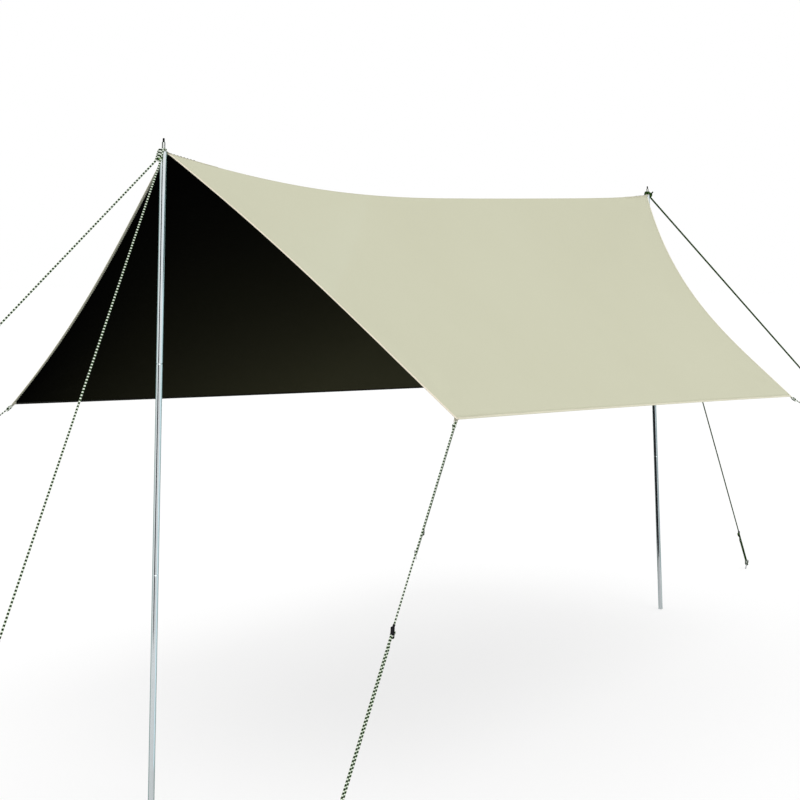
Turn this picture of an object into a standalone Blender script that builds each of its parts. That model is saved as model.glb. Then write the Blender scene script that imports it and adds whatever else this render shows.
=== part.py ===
"""Ridge canopy tent: one cloth hung between two leaning poles and held out by eight guy lines.

Metres, +Z up, standing on level ground at Z = 0. The origin is at the foot of the front pole,
+X runs along the ridge to the back pole, and +Y points to the far side.
"""

import math

import bmesh
import bpy
from mathutils import Matrix, Vector

# Clearance kept between pieces that touch
GAP = 0.0003

# Poles, each of three sections, leaning outwards a little
POLE_TOP = 2.0
POLE_RADIUS = 0.0095
FRONT_TOP_X = 0.07
FRONT_FOOT_X = 0.0
BACK_TOP_X = 3.32
BACK_FOOT_X = 3.49
LOWER_SECTION = 0.755
MIDDLE_SECTION = 0.6225
SECTION_CHAMFER = 0.001
POLE_STEPS = 20
BELOW_GROUND = 0.03

# Spike on top of each pole
PIN_RADIUS = 0.0045
PIN_HEIGHT = 0.028
TIP_RADIUS = 0.002
TIP_HEIGHT = 0.011
PIN_CHAMFER = 0.0006

# Cloth corners, as (end, side): end 0 is the front and 1 the back, side -1 is near and +1 far
CORNERS = {
    (0, 1): Vector((0.262, 0.887, 1.198)),
    (0, -1): Vector((0.296, -0.882, 1.242)),
    (1, -1): Vector((3.076, -0.799, 1.103)),
    (1, 1): Vector((3.088, 0.860, 1.078)),
}

# Each gable edge curves inwards and down: inset, sag and how far its fullest point lies upwards
GABLE_CURVES = {
    (0, 1): (0.059, -0.015, -0.31),
    (0, -1): (0.050, 0.006, 0.50),
    (1, -1): (0.108, 0.091, 0.45),
    (1, 1): (0.108, 0.091, 0.45),
}
EAVE_INSET = 0.027
RIDGE_SAG = 0.076
RIDGE_FULLNESS = 2.56
RIDGE_SKEW = 0.018

# The cloth starts clear of the poles, and its middle surface lies under the visible crest
APEX_INSET = 0.0105
CREST_DROP = 0.005
APEX_BLEND = 4
RIDGE_SPLIT = 0.0016
HEM_MITRE_CLEARANCE = 0.0030
CLOTH_THICKNESS = 0.003
HEM_THICKNESS = 0.0045
HEM_WIDTH = 0.012
SURFACE_STEP = 0.02
CREST_STEP = 0.01
SHARP_ANGLE = 35
CLOTH_COLUMNS = 24
CLOTH_ROWS = 12

# Webbing tab over the crest at each pole, with the spike through its eye
RIDGE_TAB_BEYOND = 0.011
RIDGE_TAB_FOLD = 0.030
RIDGE_TAB_STATIONS = (-RIDGE_TAB_BEYOND, 0.0, POLE_RADIUS, 0.014, RIDGE_TAB_FOLD, 0.048, 0.066, 0.085)
RIDGE_TAB_HALF_WIDTH = 0.009
RIDGE_TAB_NARROWING = 0.35
WEBBING_THICKNESS = 0.0024
PIN_EYE_RADIUS = 0.0051

# Webbing tab under each corner
TAB_OVERLAP = 0.015
TAB_PAST_CORNER = 0.002
TAB_REACH = 0.017
TAB_HALF_WIDTH = 0.008
TAB_EYE_AT = 0.010
TAB_EYE_RADIUS = 0.003
TAB_UNDER = 0.0008

# Guy lines
ROPE_RADIUS = 0.0025
PIN_LOOP_RADIUS = 0.0076
PIN_LOOP_TURN = 280
PIN_LOOP_STEPS = 14
LOWER_LOOP = 0.0068
UPPER_LOOP = 0.0124
WIRE_ROUNDNESS = 2
PEG_LOOP_RADIUS = 0.0062
PEG_LOOP_STEPS = 8
ARC_STEPS = 4

# The two lines of a spike leave it together, then part: degrees from +X towards +Y, reach and drop
STEM_HEADINGS = (182.0, 345.0)
STEM_BEND = ((0.010, 0.0), (0.013, 0.0006), (0.016, 0.0028))
STEM_ENDS = ((0.026, 0.036), (0.022, 0.012))
STEM_HALF_SPACING = 0.0029

# A corner line's bight, as distance along the line and height over the tab, from the eye
BIGHT_RISE = 0.0048
BIGHT_BEND = 0.003
BIGHT_TAIL = ((0.030, -0.0066), (0.020, -0.0052))
BIGHT_LEAD = ((0.012, BIGHT_RISE), (0.020, 0.0032), (0.028, 0.0010), (0.036, 0.0))

# Guy lines from the spikes: end, loop height, degrees, reach on the ground, tensioner to peg
SPIKE_GUYS = {
    "front_near_guy": (0, UPPER_LOOP, 204.0, 1.80, 0.40),
    "front_far_guy": (0, LOWER_LOOP, 161.7, 2.00, 0.40),
    "back_near_guy": (1, LOWER_LOOP, 329.2, 2.10, 0.40),
    "back_far_guy": (1, UPPER_LOOP, 1.4, 1.324, 0.235),
}

# Guy lines from the corners: end, side, degrees, reach on the ground, tensioner to peg
CORNER_GUYS = {
    "front_near_corner_guy": (0, -1, 193.8, 1.20, 1.05),
    "front_far_corner_guy": (0, 1, 146.5, 1.50, 0.30),
    "back_near_corner_guy": (1, -1, 302.0, 1.80, 0.30),
    "back_far_corner_guy": (1, 1, 47.5, 1.10, 0.235),
}

# Tensioner: a flat bar across the doubled end of each line, upright in the line's own plane
TENSIONER_LENGTH = 0.030
TENSIONER_WIDTH = 0.010
TENSIONER_THICKNESS = 0.003
TENSIONER_CORNER = 0.003
TENSIONER_ANGLE = 40
TENSIONER_HOLE_SPACING = 0.014
TENSIONER_HOLE_RADIUS = 0.003
ROPE_TAIL = 0.014

# The line's returning strand: beside the first, a quarter turn round it, then to the tensioner
STRAND_SPACING = 0.0057
STRAND_OPENING = 0.030
STRAND_TWIST_LENGTH = 0.040
STRAND_TWIST_STEPS = 4
STRAND_BEFORE_HOLE = 0.022
STRAND_INTO_HOLE = 0.008

# Hooked peg
PEG_RADIUS = 0.003
PEG_LEAN = 30
PEG_SHAFT = 0.045
PEG_HOOK_RADIUS = 0.008
PEG_HOOK_TURN = 150
PEG_HOOK_STEPS = 7
PEG_HOOK_TAIL = 0.006
PEG_ATTACH = 0.028

HOLE_SIDES = 16
CUTTER_LENGTH = 0.03
ENDS = {0: "front", 1: "back"}
SIDES = {-1: "near", 1: "far"}


def clear_scene():
    """Empties the scene."""
    for obj in list(bpy.data.objects):
        bpy.data.objects.remove(obj, do_unlink=True)


def new_collection(name, hidden=False):
    """A collection in the scene, left out of renders if it is hidden."""
    collection = bpy.data.collections.new(name)
    bpy.context.scene.collection.children.link(collection)
    collection.hide_render = hidden
    return collection


def new_material(name, colour, roughness, metallic=0.0):
    """A plain Principled material."""
    material = bpy.data.materials.new(name)
    material.use_nodes = True
    shader = material.node_tree.nodes["Principled BSDF"]
    shader.inputs["Base Color"].default_value = (*colour, 1.0)
    shader.inputs["Roughness"].default_value = roughness
    shader.inputs["Metallic"].default_value = metallic
    return material


def new_object(name, data, collection, material=None):
    """An object of this mesh or curve, in its collection."""
    obj = bpy.data.objects.new(name, data)
    collection.objects.link(obj)
    if material and not data.materials:
        data.materials.append(material)
    return obj


def mesh_from(bm, name):
    """A smooth-shaded mesh of this bmesh, with its sharp edges marked."""
    bmesh.ops.recalc_face_normals(bm, faces=bm.faces)
    mesh = bpy.data.meshes.new(name)
    bm.to_mesh(mesh)
    bm.free()
    mesh.shade_smooth()
    mesh.set_sharp_from_angle(angle=math.radians(SHARP_ANGLE))
    return mesh


def evaluated_mesh(obj, name):
    """The object's shape with its modifiers, as a mesh in its own coordinates."""
    bpy.context.view_layer.update()
    graph = bpy.context.evaluated_depsgraph_get()
    mesh = bpy.data.meshes.new_from_object(obj.evaluated_get(graph))
    mesh.name = name
    return mesh


def trim_at_ground(mesh, matrix):
    """Cuts the mesh level where matrix puts it at Z = 0, and closes the cut."""
    bm = bmesh.new()
    bm.from_mesh(mesh)
    bmesh.ops.remove_doubles(bm, verts=bm.verts, dist=1e-6)
    bm.transform(matrix)
    everything = bm.verts[:] + bm.edges[:] + bm.faces[:]
    cut = bmesh.ops.bisect_plane(
        bm, geom=everything, plane_co=(0, 0, 0), plane_no=(0, 0, 1), clear_inner=True
    )
    edges = [item for item in cut["geom_cut"] if isinstance(item, bmesh.types.BMEdge)]
    bmesh.ops.contextual_create(bm, geom=edges)
    bm.transform(matrix.inverted())
    return mesh_from(bm, mesh.name)


def solidify(obj, thickness):
    """Thickens a sheet evenly on both sides of its surface."""
    modifier = obj.modifiers.new("Thickness", "SOLIDIFY")
    modifier.thickness = thickness
    modifier.offset = 0.0
    modifier.use_even_offset = True


def sheet(name, columns, rows, point_at, thickness, collection, material):
    """A thickened grid, carried to its shape by point_at(column, row)."""
    bm = bmesh.new()
    bmesh.ops.create_grid(bm, x_segments=columns, y_segments=rows, size=1.0)
    for vert in bm.verts:
        column = round((vert.co.x + 1) / 2 * columns)
        row = round((vert.co.y + 1) / 2 * rows)
        vert.co = point_at(column, row)
    obj = new_object(name, mesh_from(bm, name), collection, material)
    solidify(obj, thickness)
    return obj


def cut_hole(obj, matrix, radius, cutters):
    """Cuts a round hole along the local Z axis of matrix."""
    bm = bmesh.new()
    bmesh.ops.create_cone(
        bm, cap_ends=True, segments=HOLE_SIDES, radius1=radius, radius2=radius, depth=CUTTER_LENGTH
    )
    cutter = new_object(obj.name + "_hole", mesh_from(bm, obj.name + "_hole"), cutters)
    cutter.matrix_world = matrix
    cutter.hide_render = True
    cutter.display_type = "WIRE"
    modifier = obj.modifiers.new("Hole", "BOOLEAN")
    modifier.object = cutter
    modifier.operation = "DIFFERENCE"
    modifier.solver = "EXACT"


def frame_matrix(origin, x_axis, y_axis, z_axis):
    """A placing matrix from an origin and three unit axes."""
    matrix = Matrix((x_axis, y_axis, z_axis)).transposed().to_4x4()
    matrix.translation = origin
    return matrix


# Cloth surface

def pole_foot(end):
    """Where the pole's axis meets the ground."""
    return Vector(((FRONT_FOOT_X, BACK_FOOT_X)[end], 0, 0))


def pole_top(end):
    """Where the pole's axis meets its flat top."""
    return Vector(((FRONT_TOP_X, BACK_TOP_X)[end], 0, POLE_TOP))


def inwards(end):
    """+1 at the front and -1 at the back: the X direction to the middle of the tent."""
    return 1 - 2 * end


def crest_height(x):
    """Height of the visible crest at x."""
    t = (x - FRONT_TOP_X) / (BACK_TOP_X - FRONT_TOP_X)
    sag = RIDGE_SAG * (1 - abs(2 * t - 1) ** RIDGE_FULLNESS)
    return POLE_TOP - sag - RIDGE_SKEW * math.sin(2 * math.pi * t)


def ridge_point(u):
    """Middle surface of the cloth along the crest, from the front (0) to the back (1)."""
    x = (FRONT_TOP_X + APEX_INSET) * (1 - u) + (BACK_TOP_X - APEX_INSET) * u
    return Vector((x, 0, crest_height(x) - CREST_DROP))


def gable_point(end, side, v):
    """Edge of the cloth from the apex (0) down to the corner (1)."""
    inset, sag, high = GABLE_CURVES[end, side]
    apex = ridge_point(end)
    bow = 4 * v * (1 - v) * (1 + high * (1 - 2 * v))
    apex_shift = -inwards(end) * APEX_INSET * (1 - (1 - v) ** APEX_BLEND) * (1 - v)
    point = apex.lerp(CORNERS[end, side], v)
    return point + Vector((inwards(end) * inset * bow + apex_shift, 0, -sag * bow))


def eave_point(side, u):
    """Lower edge of one slope, from the front corner (0) to the back corner (1)."""
    point = CORNERS[0, side].lerp(CORNERS[1, side], u)
    return point - Vector((0, side * EAVE_INSET * 4 * u * (1 - u), 0))


def cloth_point(side, u, v):
    """One slope, blended between its four edges."""
    along = ridge_point(u).lerp(eave_point(side, u), v)
    down = gable_point(0, side, v).lerp(gable_point(1, side, v), u)
    top = ridge_point(0).lerp(ridge_point(1), u)
    bottom = CORNERS[0, side].lerp(CORNERS[1, side], u)
    return along + down - top.lerp(bottom, v)


def across(width, side, v):
    """The share of u that this width takes at v."""
    return width / (cloth_point(side, 1, v) - cloth_point(side, 0, v)).length


def down_slope(width, side, u):
    """The share of v that this width takes at u."""
    return width / (cloth_point(side, u, 1) - cloth_point(side, u, 0)).length


def between_hems(side, share, v):
    """u at this share of the way between the gable hems, which are mitred over the crest."""
    clearance = HEM_MITRE_CLEARANCE if v == 0 else GAP
    edge = across(HEM_WIDTH + clearance, side, v)
    return edge + share * (1 - 2 * edge)


def panel_v(side, share, row):
    """v of a row of the panel, which ends at the eave hem."""
    return row / CLOTH_ROWS * (1 - down_slope(HEM_WIDTH + GAP, side, share))


def panel_point(side, share, row):
    """A point of the panel, by its share of the way between the gable hems and its row."""
    v = panel_v(side, share, row)
    return cloth_point(side, between_hems(side, share, v), v)


def make_panel(side, collection, material):
    """One slope inside its hems, kept just short of the crest line."""
    def point_at(column, row):
        point = panel_point(side, column / CLOTH_COLUMNS, row)
        if row == 0:
            below = panel_point(side, column / CLOTH_COLUMNS, 1)
            point = point.lerp(below, RIDGE_SPLIT / abs(below.y))
        return point

    name = f"canopy_{SIDES[side]}_panel"
    return sheet(name, CLOTH_COLUMNS, CLOTH_ROWS, point_at, CLOTH_THICKNESS, collection, material)


def make_eave_hem(side, collection, material):
    """The hem along a lower edge, between the gable hems."""
    def point_at(column, row):
        share = column / CLOTH_COLUMNS
        v = 1 - (1 - row) * down_slope(HEM_WIDTH, side, share)
        return cloth_point(side, between_hems(side, share, v), v)

    name = f"{SIDES[side]}_eave_hem"
    return sheet(name, CLOTH_COLUMNS, 1, point_at, HEM_THICKNESS, collection, material)


def make_gable_hem(end, collection, material):
    """The hem up one gable edge, over the apex and down the other."""
    def point_at(column, row):
        step = column - (CLOTH_ROWS + 1)
        side = 1 if step > 0 else -1
        v = 1 if abs(step) > CLOTH_ROWS else panel_v(side, end, abs(step))
        inset = row * across(HEM_WIDTH, side, v)
        return cloth_point(side, inset if end == 0 else 1 - inset, v)

    name = f"{ENDS[end]}_gable_hem"
    return sheet(name, 2 * (CLOTH_ROWS + 1), 1, point_at, HEM_THICKNESS, collection, material)


# Poles

def make_turned(name, profile, collection, material):
    """A solid turned about its own Z axis. The profile runs down its outer side."""
    bm = bmesh.new()
    verts = [bm.verts.new((radius, 0, height)) for radius, height in profile]
    for first, second in zip(verts, verts[1:]):
        bm.edges.new((first, second))
    mesh = bpy.data.meshes.new(name)
    bm.to_mesh(mesh)
    bm.free()
    obj = new_object(name, mesh, collection, material)
    screw = obj.modifiers.new("Turn", "SCREW")
    screw.steps = POLE_STEPS
    screw.render_steps = POLE_STEPS
    screw.use_merge_vertices = True
    screw.merge_threshold = 0.00001
    screw.use_smooth_shade = True
    return obj


def section_profile(bottom, top):
    """A plain tube section with small chamfers."""
    inner = POLE_RADIUS - SECTION_CHAMFER
    return [
        (0, top),
        (inner, top),
        (POLE_RADIUS, top - SECTION_CHAMFER),
        (POLE_RADIUS, bottom + SECTION_CHAMFER),
        (inner, bottom),
        (0, bottom),
    ]


def pin_profile():
    """A stout spike with a thin tip."""
    shoulder = GAP + PIN_HEIGHT
    return [
        (0, shoulder + TIP_HEIGHT),
        (TIP_RADIUS - PIN_CHAMFER, shoulder + TIP_HEIGHT),
        (TIP_RADIUS, shoulder + TIP_HEIGHT - PIN_CHAMFER),
        (TIP_RADIUS, shoulder),
        (PIN_RADIUS - PIN_CHAMFER, shoulder),
        (PIN_RADIUS, shoulder - PIN_CHAMFER),
        (PIN_RADIUS, GAP),
        (0, GAP),
    ]


def sharpen_edges(obj):
    """Applies the turning and marks the edges that stay crisp."""
    turned = evaluated_mesh(obj, obj.name)
    obj.modifiers.clear()
    turned.shade_smooth()
    turned.set_sharp_from_angle(angle=math.radians(SHARP_ANGLE))
    obj.data = turned


def make_pole(end, collection, steel, spike_metal):
    """Three sections and a spike, on an empty at the foot that leans them."""
    foot = pole_foot(end)
    axis = pole_top(end) - foot
    length = axis.length
    empty = bpy.data.objects.new(f"{ENDS[end]}_pole", None)
    collection.objects.link(empty)
    empty.location = foot
    empty.rotation_euler = (0, math.atan2(axis.x, axis.z), 0)
    upper = length - LOWER_SECTION - MIDDLE_SECTION
    heights = {
        "lower": (-BELOW_GROUND, LOWER_SECTION),
        "middle": (LOWER_SECTION + GAP, LOWER_SECTION + MIDDLE_SECTION),
        "upper": (length - upper + GAP, length),
    }
    for part, (bottom, top) in heights.items():
        name = f"{ENDS[end]}_pole_{part}"
        obj = make_turned(name, section_profile(bottom, top), collection, steel)
        obj.parent = empty
        sharpen_edges(obj)
        if part == "lower":
            bpy.context.view_layer.update()
            obj.data = trim_at_ground(obj.data, obj.matrix_world)
    pin = make_turned(f"{ENDS[end]}_pole_spike", pin_profile(), collection, spike_metal)
    pin.parent = empty
    pin.location.z = length
    sharpen_edges(pin)


def spike_axis_point(end, height):
    """A point on the spike's axis, this far above the pole's top."""
    axis = (pole_top(end) - pole_foot(end)).normalized()
    return pole_top(end) + axis * (height / axis.z)


def make_ridge_tab(end, collection, cutters, material):
    """A strip flat on the pole's top, which then folds down over the crest."""
    rise = GAP + WEBBING_THICKNESS / 2
    centre = pole_top(end)
    axis = centre - pole_foot(end)

    def point_at(column, row):
        distance = RIDGE_TAB_STATIONS[column]
        x = centre.x + inwards(end) * distance
        fold = min(max((distance - POLE_RADIUS) / (RIDGE_TAB_FOLD - POLE_RADIUS), 0), 1)
        on_pole = distance <= POLE_RADIUS
        top = POLE_TOP - (x - centre.x) * axis.x / axis.z if on_pole else crest_height(x)
        y = (row - 1) * RIDGE_TAB_HALF_WIDTH * (1 - RIDGE_TAB_NARROWING * fold)
        fall = abs(y) * crest_slope(end, 1 if y > 0 else -1, distance) if fold else 0
        return Vector((x, y, top + rise + fold * (GAP - fall)))

    name = f"{ENDS[end]}_ridge_tab"
    columns = len(RIDGE_TAB_STATIONS) - 1
    obj = sheet(name, columns, 2, point_at, WEBBING_THICKNESS, collection, material)
    cut_hole(obj, Matrix.Translation(spike_axis_point(end, rise)), PIN_EYE_RADIUS, cutters)
    return obj


def crest_slope(end, side, distance):
    """How steeply the cloth falls away from the crest at this distance from the pole."""
    u = across(distance, side, 0)
    u = u if end == 0 else 1 - u
    fall = cloth_point(side, u, 0) - cloth_point(side, u, CREST_STEP)
    return fall.z / abs(fall.y)


# Guy lines

def heading(degrees):
    """Level unit vector at this angle from +X towards +Y."""
    angle = math.radians(degrees)
    return Vector((math.cos(angle), math.sin(angle), 0))


def peg_axis(out):
    """Direction of the peg's shaft, leaning away from the tent."""
    lean = math.radians(PEG_LEAN)
    return (out * math.sin(lean) + Vector((0, 0, math.cos(lean)))).normalized()


def peg_attach(start, degrees, reach):
    """The point on the peg's shaft that the line goes round."""
    out = heading(degrees)
    ground = Vector((start.x, start.y, 0)) + out * reach
    return ground + peg_axis(out) * PEG_ATTACH


def spike_route(end, loop_height, degrees):
    """A turn round the spike, out over the tab and down beside the other line."""
    stem = STEM_HEADINGS[end]
    out = heading(stem)
    turn = 1 if math.sin(math.radians(degrees - stem)) > 0 else -1
    beside = heading(stem + 90) * turn
    centre = spike_axis_point(end, loop_height)
    points = []
    for step in range(PIN_LOOP_STEPS + 1):
        angle = math.radians(PIN_LOOP_TURN * (step / PIN_LOOP_STEPS - 1))
        points.append(centre + (beside * math.cos(angle) + out * math.sin(angle)) * PIN_LOOP_RADIUS)
    for run, fall in STEM_BEND:
        points.append(centre + beside * PIN_LOOP_RADIUS + out * run - Vector((0, 0, fall)))
    reach, drop = STEM_ENDS[end]
    points.append(centre + beside * STEM_HALF_SPACING + out * reach - Vector((0, 0, drop)))
    return points


def corner_frame(end, side, degrees, reach):
    """Corner point, cloth normal, and the direction of the guy line in and out of the cloth plane."""
    corner = CORNERS[end, side]
    inner_u = SURFACE_STEP if end == 0 else 1 - SURFACE_STEP
    along = cloth_point(side, inner_u, 1) - corner
    up = cloth_point(side, end, 1 - SURFACE_STEP) - corner
    normal = along.cross(up).normalized()
    if normal.z < 0:
        normal = -normal
    pull = (peg_attach(corner, degrees, reach) - corner).normalized()
    in_plane = (pull - normal * pull.dot(normal)).normalized()
    return corner, normal, in_plane, pull


def tab_bend(corner, normal, in_plane):
    """Where the corner tab comes out from under the hem and turns along the line."""
    under = HEM_THICKNESS / 2 + TAB_UNDER + WEBBING_THICKNESS / 2
    return corner + in_plane * TAB_PAST_CORNER - normal * under


def make_corner_tab(end, side, degrees, reach, collection, cutters, material):
    """A webbing strip under the corner, bent in line with its guy line, with an eye at its end."""
    corner, normal, in_plane, pull = corner_frame(end, side, degrees, reach)
    bend = tab_bend(corner, normal, in_plane)
    width_axis = normal.cross(in_plane).normalized()
    upright = pull.cross(width_axis).normalized()
    line = (bend - in_plane * (TAB_OVERLAP + TAB_PAST_CORNER), bend, bend + pull * TAB_REACH)

    def point_at(column, row):
        return line[column] + width_axis * TAB_HALF_WIDTH * (2 * row - 1)

    name = f"{ENDS[end]}_{SIDES[side]}_corner_tab"
    obj = sheet(name, 2, 1, point_at, WEBBING_THICKNESS, collection, material)
    eye = frame_matrix(bend + pull * TAB_EYE_AT, pull, width_axis, upright)
    cut_hole(obj, eye, TAB_EYE_RADIUS, cutters)
    return obj


def corner_route(end, side, degrees, reach):
    """In under the tab, up through its eye and back over it, ready to run down to the peg."""
    corner, normal, in_plane, pull = corner_frame(end, side, degrees, reach)
    eye = tab_bend(corner, normal, in_plane) + pull * TAB_EYE_AT
    upright = pull.cross(normal.cross(in_plane)).normalized()
    if upright.dot(normal) < 0:
        upright = -upright
    centre = BIGHT_RISE - BIGHT_BEND
    route = list(BIGHT_TAIL)
    for sign in (-1, 1):
        arc = []
        for step in range(ARC_STEPS + 1):
            angle = math.radians(90 * step / ARC_STEPS)
            along = BIGHT_BEND * (1 - math.sin(angle))
            height = centre + BIGHT_BEND * math.cos(angle)
            arc.append((along, sign * height))
        route += arc if sign < 0 else arc[::-1]
    route += BIGHT_LEAD
    return [eye + pull * along + upright * height for along, height in route]


def line_frame(route, attach):
    """Axes of the doubled end of a line: along it, level across it, and square to both."""
    start = route[-1]
    level = (attach - start).cross(Vector((0, 0, 1))).normalized()
    end = attach + level * PEG_LOOP_RADIUS
    along = (end - start).normalized()
    return end, along, level, along.cross(level).normalized()


def second_hole():
    """From the tensioner's first hole to its second: along the line, and square below it."""
    angle = math.radians(TENSIONER_ANGLE)
    return TENSIONER_HOLE_SPACING * math.cos(angle), TENSIONER_HOLE_SPACING * math.sin(angle)


def returning_strand(length):
    """The strand from the peg back through the tensioner, in the line's own frame."""
    ahead, below = second_hole()
    points = [Vector((length - STRAND_OPENING, -STRAND_SPACING, 0))]
    twist_end = ahead + STRAND_BEFORE_HOLE
    for step in range(STRAND_TWIST_STEPS + 1):
        share = step / STRAND_TWIST_STEPS
        angle = math.radians(90 * (2 - share))
        along = twist_end + (1 - share) * STRAND_TWIST_LENGTH
        points.append(
            Vector((along, STRAND_SPACING * math.cos(angle), STRAND_SPACING * math.sin(angle)))
        )
    points.append(Vector((ahead + STRAND_INTO_HOLE, 0, below)))
    points.append(Vector((ahead - ROPE_TAIL, 0, below)))
    return points


def add_wire(name, points, radius, collection, material):
    """A round wire or rope through these points."""
    curve = bpy.data.curves.new(name, "CURVE")
    curve.dimensions = "3D"
    curve.bevel_depth = radius
    curve.bevel_resolution = WIRE_ROUNDNESS
    curve.use_fill_caps = True
    spline = curve.splines.new("POLY")
    spline.points.add(len(points) - 1)
    for item, point in zip(spline.points, points):
        item.co = (*point, 1.0)
    return new_object(name, curve, collection, material)


def make_guy(name, route, attach, length, collection, material):
    """The rope: its start, the run to the peg, the turn round it and back to the tensioner."""
    end, along, level, square = line_frame(route, attach)
    placing = frame_matrix(end - along * length, along, level, square)
    points = list(route)
    for step in range(PEG_LOOP_STEPS + 1):
        angle = math.pi * step / PEG_LOOP_STEPS
        points.append(attach + (level * math.cos(angle) + along * math.sin(angle)) * PEG_LOOP_RADIUS)
    points += [placing @ point for point in returning_strand(length)]
    add_wire(name, points, ROPE_RADIUS, collection, material)
    return placing


def tensioner_mesh(collection, cutters, material):
    """A flat bar with rounded corners and two holes that run along the rope."""
    bm = bmesh.new()
    bmesh.ops.create_cube(bm, size=1.0)
    bmesh.ops.scale(
        bm, verts=bm.verts, vec=(TENSIONER_LENGTH, TENSIONER_WIDTH, TENSIONER_THICKNESS)
    )
    upright = [
        edge for edge in bm.edges
        if abs(edge.verts[0].co.z - edge.verts[1].co.z) > TENSIONER_THICKNESS / 2
    ]
    bmesh.ops.bevel(
        bm, geom=upright, offset=TENSIONER_CORNER, segments=3, profile=0.5, affect="EDGES"
    )
    bar = new_object("tensioner_blank", mesh_from(bm, "tensioner"), collection, material)
    ahead, below = second_hole()
    bar.location = (ahead / 2, 0, below / 2)
    bar.rotation_euler = (0, -math.radians(TENSIONER_ANGLE), 0)
    turned = Matrix.Rotation(math.radians(90), 4, "Y")
    cut_hole(bar, turned, TENSIONER_HOLE_RADIUS, cutters)
    cut_hole(bar, Matrix.Translation((ahead, 0, below)) @ turned, TENSIONER_HOLE_RADIUS, cutters)
    mesh = evaluated_mesh(bar, "tensioner")
    mesh.transform(bar.matrix_world)
    bpy.data.objects.remove(bar, do_unlink=True)
    return mesh


def peg_mesh(collection, material):
    """A hooked wire peg in its own frame, +X away from the tent, cut level at the ground."""
    axis = peg_axis(Vector((1, 0, 0)))
    side = Vector((axis.z, 0, -axis.x))
    points = [axis * -BELOW_GROUND, axis * PEG_SHAFT]
    centre = axis * PEG_SHAFT + side * PEG_HOOK_RADIUS
    for step in range(1, PEG_HOOK_STEPS + 1):
        angle = math.radians(PEG_HOOK_TURN * step / PEG_HOOK_STEPS)
        points.append(centre + (axis * math.sin(angle) - side * math.cos(angle)) * PEG_HOOK_RADIUS)
    points.append(points[-1] + (points[-1] - points[-2]).normalized() * PEG_HOOK_TAIL)
    wire = add_wire("peg_wire", points, PEG_RADIUS, collection, material)
    mesh = evaluated_mesh(wire, "peg")
    bpy.data.objects.remove(wire, do_unlink=True)
    mesh = trim_at_ground(mesh, Matrix.Identity(4))
    mesh.materials.append(material)
    return mesh


def make_line(name, route, start, degrees, reach, length, meshes, collection, rope):
    """One guy line with its tensioner and its peg."""
    attach = peg_attach(start, degrees, reach)
    placing = make_guy(name, route, attach, length, collection, rope)
    tensioner = new_object(name + "_tensioner", meshes["tensioner"], collection)
    tensioner.matrix_world = placing
    peg = new_object(name + "_peg", meshes["peg"], collection)
    peg.location = Vector((start.x, start.y, 0)) + heading(degrees) * reach
    peg.rotation_euler = (0, 0, math.radians(degrees))


def build():
    """Makes every piece of the tent."""
    clear_scene()
    tent = new_collection("canopy_tent")
    cutters = new_collection("cutters", hidden=True)
    cloth = new_material("beige_cloth", (0.61, 0.61, 0.47), 0.85)
    hem = new_material("cream_hem", (0.86, 0.78, 0.61), 0.85)
    webbing = new_material("beige_webbing", (0.68, 0.64, 0.50), 0.9)
    steel = new_material("galvanised_steel", (0.60, 0.61, 0.66), 0.35, 0.9)
    spike_metal = new_material("spike_steel", (0.75, 0.75, 0.74), 0.3, 0.9)
    rope = new_material("braided_rope", (0.30, 0.38, 0.30), 0.8)
    plastic = new_material("black_plastic", (0.02, 0.02, 0.02), 0.45)
    peg_steel = new_material("peg_steel", (0.55, 0.55, 0.56), 0.4, 0.9)
    for side in (-1, 1):
        make_panel(side, tent, cloth)
        make_eave_hem(side, tent, hem)
    for end in (0, 1):
        make_gable_hem(end, tent, hem)
        make_pole(end, tent, steel, spike_metal)
        make_ridge_tab(end, tent, cutters, webbing)
    meshes = {"tensioner": tensioner_mesh(tent, cutters, plastic), "peg": peg_mesh(tent, peg_steel)}
    for name, (end, loop_height, degrees, reach, length) in SPIKE_GUYS.items():
        route = spike_route(end, loop_height, degrees)
        make_line(name, route, pole_top(end), degrees, reach, length, meshes, tent, rope)
    for name, (end, side, degrees, reach, length) in CORNER_GUYS.items():
        make_corner_tab(end, side, degrees, reach, tent, cutters, webbing)
        route = corner_route(end, side, degrees, reach)
        make_line(name, route, CORNERS[end, side], degrees, reach, length, meshes, tent, rope)
    bpy.context.view_layer.update()


build()
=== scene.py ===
"""Looks of the ridge canopy tent: cloth, hems, webbing, ropes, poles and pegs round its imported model.

Metres, +Z up. The origin is at the foot of the front pole, +X runs along the ridge to the back
pole, and +Y points to the far side.
"""

import logging
import math
from collections.abc import Callable, Iterable, Mapping, Sequence
from dataclasses import dataclass, field
from enum import Enum
from itertools import accumulate

import bpy
import numpy as np
from bpy.types import Material, Node, NodeSocket as Socket, NodeTree, Object
from mathutils import Matrix, Vector


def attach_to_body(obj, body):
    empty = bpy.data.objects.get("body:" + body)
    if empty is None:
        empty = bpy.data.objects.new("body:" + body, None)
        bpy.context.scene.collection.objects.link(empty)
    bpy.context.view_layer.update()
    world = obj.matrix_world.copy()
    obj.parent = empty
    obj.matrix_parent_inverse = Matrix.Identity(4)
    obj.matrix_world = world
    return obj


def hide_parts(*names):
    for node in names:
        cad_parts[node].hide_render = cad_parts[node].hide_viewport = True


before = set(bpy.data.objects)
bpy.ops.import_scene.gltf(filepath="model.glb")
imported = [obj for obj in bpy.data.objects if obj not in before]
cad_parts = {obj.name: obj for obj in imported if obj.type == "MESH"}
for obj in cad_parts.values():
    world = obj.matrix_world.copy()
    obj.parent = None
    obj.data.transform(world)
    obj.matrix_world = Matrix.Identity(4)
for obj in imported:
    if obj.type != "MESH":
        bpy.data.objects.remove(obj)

BODY = "root"
UP = Vector((0, 0, 1))
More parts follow.
